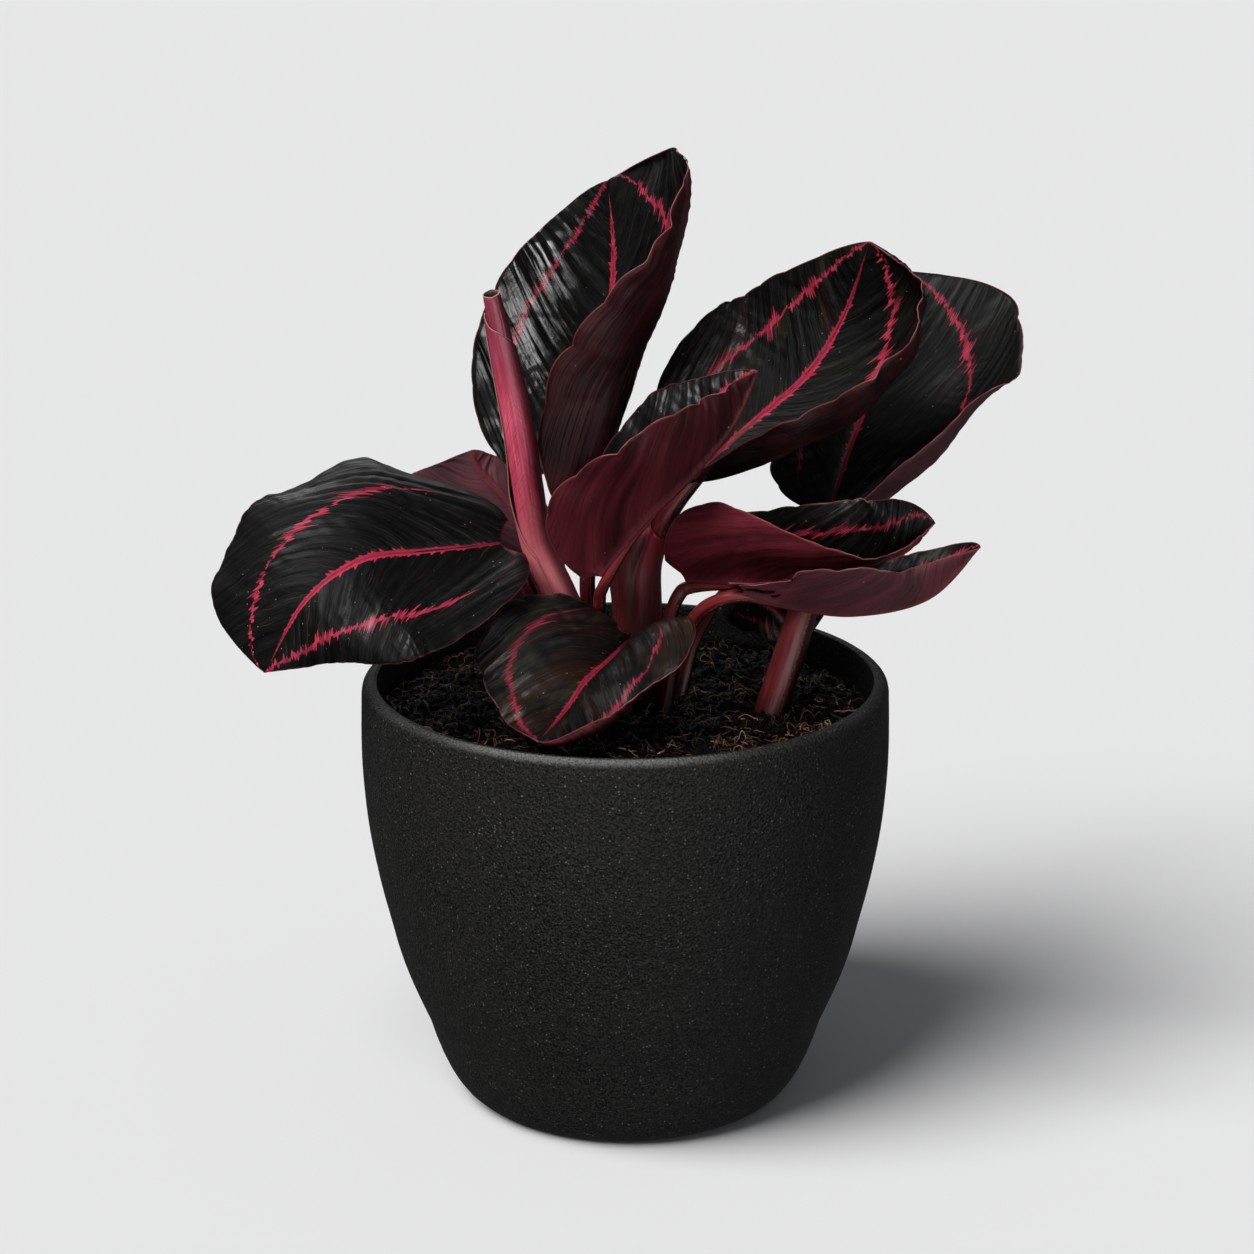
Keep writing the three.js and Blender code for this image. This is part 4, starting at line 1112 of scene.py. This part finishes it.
def midrib_run(leaf):
    """Where the stalk goes on below the blade, as points and radii from the far end back."""
    t = np.array([0.3, 0.15])
    point, _, _, up = frame_at(leaf, t)
    radius = np.array([0.55, 0.8]) * leaf.stalk.top * 0.7
    return point - up * (radius + 0.2)[:, None], radius


def stalk_material():
    """Smooth and wine red, streaked lengthwise, with painted crimson light on its left side and
    painted shade on its right, darker towards the soil, with a thin dotted seam down each side."""
    material, tree = new_material("leaf stalk", Specular_IOR_Level=0.14)
    stem, height = values_at(tree, "stem"), split(position(tree))[2]
    around = stem[1]
    streak = noise_on(stem[0], around, stem[2], (0.08, 9.6), 5.0, 0.6)
    # painted light: a crimson band down the lit left side
    painted_lit_side = ramp(around, 0.5, 0.62) * ramp(around, 0.66, 0.82, 1.0, 0.0)
    seam = ramp(abs(around - 0.36), 0.012, 0.03, 1.0, 0.0)
    dots = ramp(noise(tree, 1500, 2.0), 0.5, 0.6, 0.05, 0.8)
    base = layers(
        blend(ramp(streak, 0.3, 0.7), "521618", "8c3438"),
        (ramp(noise(tree, 180, 4.0), 0.4, 0.75, 0.0, 0.45), "743428"),
        # painted shade: the right side darker
        (ramp(around, 0.22, 0.5, 0.8, 0.0), "1a0b09"),
        (painted_lit_side * 0.3, "962036"),
        (seam * dots, "a87a5c"),
        (ramp(height, 0.138, 0.15, 0.7, 0.0), "1c0c09"),
    )
    base = dust_and_glint_specks(base, "b08d74", strength=0.5, per_metre=420.0, share=0.15, size=0.09)
    return dress(material, base, ramp(streak, 0.3, 0.7, 0.3, 0.45), relief(streak, 0.0003, 0.7))


def tube(path, t, radius, sides):
    """Rings of points round a path, with a radius for each ring."""
    _, across, third = path_axes(path, t)
    turn = full_turn(sides)
    return through(path, t)[:, None] + radius[:, None, None] * spokes(across, third, turn)


def add_stalk(name, leaf, number):
    path = stalk_path(leaf)
    rib, rib_radius = midrib_run(leaf)
    whole = np.concatenate([rib, path])
    t = np.linspace(0, 1, STALK_RINGS)
    place = t * (len(whole) - 1)
    own = np.clip((place - len(rib)) / (len(path) - 1), 0, 1)
    below_blade = np.interp(place, [0, 1, 2], [*rib_radius, leaf.stalk.top])
    radius = np.where(place < len(rib), below_blade, thickness_down(leaf.stalk, own))
    radius *= 1 + 0.02 * waves(place * 10, 0, 9, number)
    points = tube(whole, t, radius, STALK_SIDES)
    faces = closed_faces(STALK_RINGS, STALK_SIDES)
    piece = add_piece(name + "_petiole", points, faces, [STALK], [name + "_stalk"])
    turn = np.tile(np.linspace(0, 1, STALK_SIDES, endpoint=False), STALK_RINGS)
    down = np.repeat(t * length_of(whole), STALK_SIDES)
    point_values(piece, "stem", np.stack([down, np.abs(2 * turn - 1), 0 * turn + number], -1))


STALK = stalk_material()
for number, (name, leaf) in enumerate(LEAVES.items(), start=1):
    add_stalk(name, leaf, number)

# The new leaf: still rolled round itself into a slim pink tube, open at the top. One layer ends in
# a slanting margin across the front, and the margin of the outer layer stands off on the left.

ROLLED = [
    [-43.8, -14, 284.8], [-39.1, -14, 261.6], [-34.9, -12, 237.9], [-32.1, -7, 215.1],
    [-29.4, -2, 195.6], [-22, -0.5, 178], [-14, -2, 158], [-10, -2, 137],
]
ROLLED_RADIUS = [[3.1], [4.3], [4.8], [4.9], [5.1], [5.3], [5.4], [5.3]]
SHEET_THICKNESS = 0.3
SHEET_ROWS = 150
SHEET_COLUMNS = 72
RADIAN = 57.3  # degrees
# Angles go round from the left (0) over the back (90); the first number of each pair is the angle
# and the second how far the sheet's upper margin lies below the mouth of the tube.
MOUTH = [(-400, 0.7), (-270, 0), (-90, 1.5), (90, 0), (270, 1.5)]
MIDDLE_MARGIN = [
    (-360, 27), (-270, 24), (-180, 18.5), (-135, 15.5), (-90, 12.5), (-45, 10.5), (0, 7), (20, 6.5),
]
OUTER_MARGIN = [(-90, 60), (0, 9), (60, 20), (120, 26), (200, 30)]
# Where the free side margin of the outer layer runs: distance below the mouth, and angle. Its other
# side ends at the same angle all the way down.
FREE_MARGIN = [(0, 6), (26, 4), (51, 1), (63, -6), (78, -31), (92, -80), (106, -76), (170, -76)]
OUTER_END = 204


def read_off(pairs, x):
    """The second numbers of some pairs, read off between them at a first number."""
    return np.interp(x, *np.transpose(pairs))


def add_sheet(sheets, path, upper, angles, radius):
    """A thin curved sheet round the path, closed round its borders. Upper is how far its upper
    margin is below the mouth, for each column. Angles and radius are the rules for its angle and
    its distance from the path."""
    length = length_of(path)
    t = upper / length + (1 - upper / length) * np.linspace(0, 1, SHEET_ROWS)[:, None]
    down = t * length
    angle = angles(down)
    _, across, third = path_axes(path, t)
    turn = np.radians(angle)[..., None]
    around = across * np.cos(turn) + third * np.sin(turn)
    reach = radius(down, angle, through(ROLLED_RADIUS, t)[..., 0])[..., None]
    outside = through(path, t) + reach * around
    inside = outside - SHEET_THICKNESS * around
    grid = np.array(ring_faces(*down.shape, closed=False))
    count = down.size
    left = np.arange(SHEET_ROWS) * down.shape[1]
    right = left + down.shape[1] - 1
    top = np.arange(down.shape[1])
    around = [*left[::-1], *top[1:], *right[1:], *(left[-1] + top[:-1])[::-1]]
    rim = [[a, b, b + count, a + count] for a, b in zip(around[:-1], around[1:])]
    faces = np.concatenate([grid[:, ::-1], grid + count, rim])
    kinds = np.repeat([0, 1, 0], [len(grid), len(grid), len(rim)])
    from_side = (angle - angle[:, :1]) / RADIAN * reach[..., 0]
    edge = np.minimum(down - upper, from_side)
    arc = (np.mod(angle + 270, 360) - 180) / RADIAN * reach[..., 0]
    number = 0 * down + len(sheets)
    # how far round towards the right, where the material paints shade
    painted_shade_side = 0.5 - 0.5 * np.cos(np.radians(angle))
    facts = [np.stack([down, arc, number], -1), np.stack([edge, painted_shade_side, number], -1)]
    points = np.concatenate([outside.reshape(-1, 3), inside.reshape(-1, 3)])
    sheets.append((points, faces, kinds, facts))


def rolled_material():
    """Crimson and satiny, with faint chevrons of veins, thin pale margins and a salmon foot,
    painted shade on its right side and a painted shadow just inside each margin.
    """
    material, tree = new_material("rolled new leaf", Specular_IOR_Level=0.3)
    stem, sheet = values_at(tree, "stem"), values_at(tree, "sheet")
    height = split(position(tree))[2]
    chevron = stem[0] - abs(stem[1]) * 1.5
    veins = noise_on(chevron, stem[1], stem[2], (1.3, 0.1), 4.0, 0.65)
    streak = noise_on(stem[0], stem[1], stem[2], (0.06, 1.3), 4.0, 0.6)
    base = layers(
        blend(ramp(streak, 0.3, 0.7), "c22f50", "ee6884"),
        (ramp(noise(tree, 90, 4.0), 0.35, 0.7, 0.0, 0.5), "c0364e"),
        (ramp(veins, 0.5, 0.66, 0.0, 0.5), "8c2038"),
        (ramp(height, 0.24, 0.276, 0.0, 0.78), "701a34"),
        (ramp(height, 0.188, 0.222, 0.8, 0.0), "ee7c82"),
        (ramp(height, 0.158, 0.192, 0.9, 0.0), "98302c"),
        # painted shade: the right side of the tube darker
        (ramp(sheet[1], 0.6, 0.92, 0.0, 0.75), "4a0f1c"),
        # painted shadow: a dark band just inside each sheet's margin
        (ramp(sheet[0], 0.35, 0.9, 0.45, 0.0), "541019"),
        (ramp(sheet[0], 0.1, 0.32, 0.85, 0.0), "c48a80"),
    )
    base = dust_and_glint_specks(base, "eac9c8", strength=0.45, per_metre=260.0, share=0.2, size=0.06)
    rough = ramp(veins, 0.3, 0.7, 0.36, 0.5)
    return dress(material, base, rough, relief(veins + streak, 0.0003, 0.6))


def add_rolled_leaf():
    foot = np.array(ROLLED[-1], float)
    below = unit(foot - np.array(ROLLED[-2])) * STALK_DEPTH
    path = np.array([*ROLLED, foot + below])
    share = np.linspace(0, 1, SHEET_COLUMNS)
    sheets = []
    # the inner roll, once round and a little over itself
    turn = -60 + 420 * share
    add_sheet(
        sheets, path, read_off(MOUTH, turn - 120), lambda down: turn - 120 + 0 * down,
        lambda down, angle, core: core - 0.45 + 0.3 * share,
    )
    # the middle layer, whose slanting upper margin crosses the front
    sleeve = -355 + 375 * share
    add_sheet(
        sheets, path, read_off(MIDDLE_MARGIN, sleeve), lambda down: sleeve + 0 * down,
        lambda down, angle, core: core + 0.2 + 0.2 * share,
    )
    # the outer layer, whose free margin stands off on the left and turns to the front lower down
    wide = 4 + (OUTER_END - 4) * share

    def outer_angles(down):
        free = read_off(FREE_MARGIN, down)
        return free + (OUTER_END - free) * share

    def outer_radius(down, angle, core):
        free = read_off(FREE_MARGIN, down)
        lift = 0.3 + 1.0 * hump(down, 68, 9) + 0.25 * smoothstep(85, 105, down)
        return core + 0.62 + lift * hump(angle, free, 40) - 0.75 * smoothstep(140, OUTER_END, angle)

    add_sheet(sheets, path, read_off(OUTER_MARGIN, wide), outer_angles, outer_radius)
    starts = np.cumsum([0] + [len(points) for points, *_ in sheets[:-1]])
    points = np.concatenate([sheet[0] for sheet in sheets])
    faces = np.concatenate([sheet[1] + start for sheet, start in zip(sheets, starts)]).tolist()
    kinds = np.concatenate([sheet[2] for sheet in sheets]).astype(np.int32)
    # outside, then the upper face turned inwards, olive brown as seen through the mouth
    lining = mottled_material(
        "inside of the rolled leaf", specular=0.3, waves_per_metre=260, detail=4.0,
        dark="3a2c1e", pale="6e5e48", rough=(0.5, 0.7),
    )
    materials = [rolled_material(), lining]
    piece = add_piece("rolled_new_leaf", points, faces, materials, ["rolled_leaf"])
    piece.data.polygons.foreach_set("material_index", kinds)
    for k, key in enumerate(("stem", "sheet")):
        values = [np.tile(sheet[3][k].reshape(-1, 3), (2, 1)) for sheet in sheets]
        point_values(piece, key, np.concatenate(values))


add_rolled_leaf()

# The sheath: the grooved foot of the right leaf's stalk, which swells round the stalk half way up,
# lies close against it on the right and ends in two slanting crimson points on its left.

SHEATH = [[4, 10, 123], [4, 10, 150], [4, 9.5, 170], [4.2, 8.5, 184], [7.5, 6.5, 195], [11, 5, 206]]
SHEATH_RADIUS = [[8.2], [8.2], [8.6], [9.6], [8.6], [6.5]]
SHEATH_WALL = (1.2, 0.6)
SHEATH_LOW = 196
SHEATH_CLEAR = 0.75
SHEATH_SLANT = 1.3
# Angle, width in degrees, and depth: the notch between its two points, and the fold in its front.
SHEATH_NOTCH = (222, 7, 3.2)
SHEATH_FOLD = (261, 12, 0.8)
SHEATH_SIDES = 120
SHEATH_ROWS = 90


def sheath_material():
    """Wine red and finely streaked, with crimson points, painted shade along its fold, painted
    crimson light up its middle and a painted highlight along its upper edge.
    """
    material, tree = new_material("stalk sheath", Specular_IOR_Level=0.14)
    at, stem = split(position(tree)), values_at(tree, "stem")
    height, to_top, around = at[2], stem[0], stem[1]
    streak = noise_on(at[0], height, at[1], (2200, 60), 4.0, 0.6)
    # painted shade: a dark line along the fold up its front
    painted_fold_shade = ramp(abs(around - 0.72), 0.0, 0.04, 0.6, 0.0) * ramp(height, 0.15, 0.17)
    # painted light: crimson, up the middle to the right of the fold
    painted_glow = ramp(around, 0.71, 0.76) * ramp(around, 0.8, 0.9, 1.0, 0.0) * ramp(height, 0.165, 0.197)
    base = layers(
        blend(ramp(streak, 0.3, 0.7), "561a20", "7c3033"),
        (ramp(noise(tree, 150, 4.0, 0.6), 0.4, 0.7, 0.0, 0.5), "5c2420"),
        (painted_fold_shade, "2a0509"),
        (painted_glow * 0.8, "9c1230"),
        (ramp(height, 0.194, 0.204), "c01c44"),
        # painted highlight: a pale line along the upper edge, apart from the front right
        (ramp(to_top, 0.1, 0.5, 0.7, 0.0) * ramp(around, 0.68, 0.76, 1.0, 0.0), "c88a86"),
    )
    base = dust_and_glint_specks(base, "b08d84", strength=0.5, per_metre=420.0, share=0.12, size=0.07)
    return dress(material, base, ramp(streak, 0.3, 0.7, 0.34, 0.5), relief(streak, 0.0003, 0.6))


def add_sheath():
    turn = full_turn(SHEATH_SIDES)
    left = ((1 - np.cos(turn)) / 2) ** SHEATH_SLANT
    foot, tip = SHEATH[0][2], SHEATH[-1][2]
    notch = SHEATH_NOTCH[2] * hump(np.degrees(turn), *SHEATH_NOTCH[:2])
    top = SHEATH_LOW + (tip - SHEATH_LOW) * left - notch
    share = np.linspace(0, 1, SHEATH_ROWS)[:, None]
    z = foot + (top - foot) * share
    fine = np.linspace(0, 1, 2001)
    t = np.interp(z, through(SHEATH, fine)[:, 2], fine)
    centre = through(SHEATH, t)
    radius = through(SHEATH_RADIUS, t)[..., 0]
    # drawn in to the stalk that it holds, first on the right and only near its points on the left
    holder = LEAVES["right_leaf"]
    path = through(stalk_path(holder), fine)
    thick = thickness_down(holder.stalk, fine)
    held = [np.interp(z, path[::-1, 2], values[::-1]) for values in (path[:, 0], path[:, 1], thick)]
    x, y = held[0] - centre[..., 0], held[1] - centre[..., 1]
    ahead, aside = x * np.cos(turn) + y * np.sin(turn), x * np.sin(turn) - y * np.cos(turn)
    close = ahead + np.sqrt(np.maximum(held[2] ** 2 - aside**2, 0.01)) + SHEATH_CLEAR
    drawn = smoothstep(168, 194, z) * (1 - left) + smoothstep(198, 207, z) * left * 0.7
    radius = radius - drawn * np.maximum(radius - close, 0)
    # a soft fold runs up its front, to the left of the middle
    fold = SHEATH_FOLD[2] * hump(np.degrees(turn), *SHEATH_FOLD[:2])
    radius = radius - fold * smoothstep(148, 172, z)
    wall = SHEATH_WALL[0] + (SHEATH_WALL[1] - SHEATH_WALL[0]) * share
    rings = []
    for reach in (radius, radius - wall):
        x, y = centre[..., 0] + reach * np.cos(turn), centre[..., 1] + reach * np.sin(turn)
        rings.append(np.stack([x, y, z], -1))
    points = np.concatenate([rings[0], rings[1][::-1]])
    rows = len(points)
    # each ring is joined to the next, and the last one to the first
    faces = (np.array(ring_faces(rows + 1, SHEATH_SIDES)) % (rows * SHEATH_SIDES)).tolist()
    skin = [sheath_material()]
    piece = add_piece("sheath_collar", points, faces, skin, ["stalk_sheath"])
    to_top = np.concatenate([top - z, (top - z)[::-1]]).reshape(-1)
    around = np.tile(turn / (2 * np.pi), rows)
    point_values(piece, "stem", np.stack([to_top, around, 0 * around], -1))


add_sheath()

# The studio: a wide pale floor, a large soft light above on the left like an overcast sky, and two
# area lights at the back and in front that only make highlights, with a dim pale surround.

# Places and sizes of the studio are in metres, and the lens is in millimetres.
FLOOR_HALF = 16
FLOOR_DROP = 0.0003
CAMERA_LENS = 92.785
CAMERA_RISE = math.radians(17.13)
CAMERA_DISTANCE = 1.1
CAMERA_TARGET = Vector((0.0006, 0, 0.1661))


def add_floor():
    mesh = bpy.data.meshes.new("floor")
    sides = (-1, -1), (1, -1), (1, 1), (-1, 1)
    corners = [(FLOOR_HALF * x, FLOOR_HALF * y, -FLOOR_DROP) for x, y in sides]
    mesh.from_pydata(corners, [], [(0, 1, 2, 3)])
    grey = (0.86, 0.86, 0.86, 1)
    paint = new_material("pale floor", Base_Color=grey, Roughness=0.9, Specular_IOR_Level=0.0)
    mesh.materials.append(paint[0])
    floor = bpy.data.objects.new("floor", mesh)
    bpy.context.collection.objects.link(floor)
    floor.visible_glossy = False


def add_light(kind, name, place, power, aim=(0, 0, 0)):
    lamp = bpy.data.lights.new(name, kind)
    lamp.energy = power
    light = bpy.data.objects.new(name, lamp)
    light.location = place
    light.rotation_euler = (Vector(aim) - Vector(place)).to_track_quat("-Z", "Y").to_euler()
    bpy.context.collection.objects.link(light)
    return light


def add_highlight(name, place, size, power, aim):
    """An area light that shows in glossy skins only."""
    light = add_light("AREA", name, place, power, aim)
    light.data.shape = "RECTANGLE"
    light.data.size, light.data.size_y = size
    light.visible_camera = False
    light.visible_diffuse = False


def add_camera():
    lens = bpy.data.cameras.new("camera")
    lens.lens = CAMERA_LENS
    lens.sensor_width = 36
    lens.clip_end = 60
    camera = bpy.data.objects.new("camera", lens)
    way_out = Vector((0, -math.cos(CAMERA_RISE), math.sin(CAMERA_RISE)))
    camera.location = CAMERA_TARGET + CAMERA_DISTANCE * way_out
    camera.rotation_euler = (math.pi / 2 - CAMERA_RISE, 0, 0)
    bpy.context.collection.objects.link(camera)
    bpy.context.scene.camera = camera


def add_surround():
    world = bpy.data.worlds.new("studio")
    world.use_nodes = True
    background = world.node_tree.nodes["Background"].inputs
    background["Color"].default_value = (0.9, 0.93, 1, 1)
    background["Strength"].default_value = 0.12
    bpy.context.scene.world = world
    bpy.context.scene.view_settings.view_transform = "Standard"


add_floor()
sky = add_light("SUN", "key light", place=(-0.55, -0.45, 0.95), power=3.2)
sky.data.angle = math.radians(38)
add_highlight("back light", place=(-0.2, 1.15, 1.05), size=(1.0, 0.6), power=7, aim=(0, 0, 0.2))
add_highlight("front light", place=(0.45, -1.45, 0.3), size=(1.5, 1.1), power=36, aim=(0, 0, 0.25))
add_surround()
add_camera()
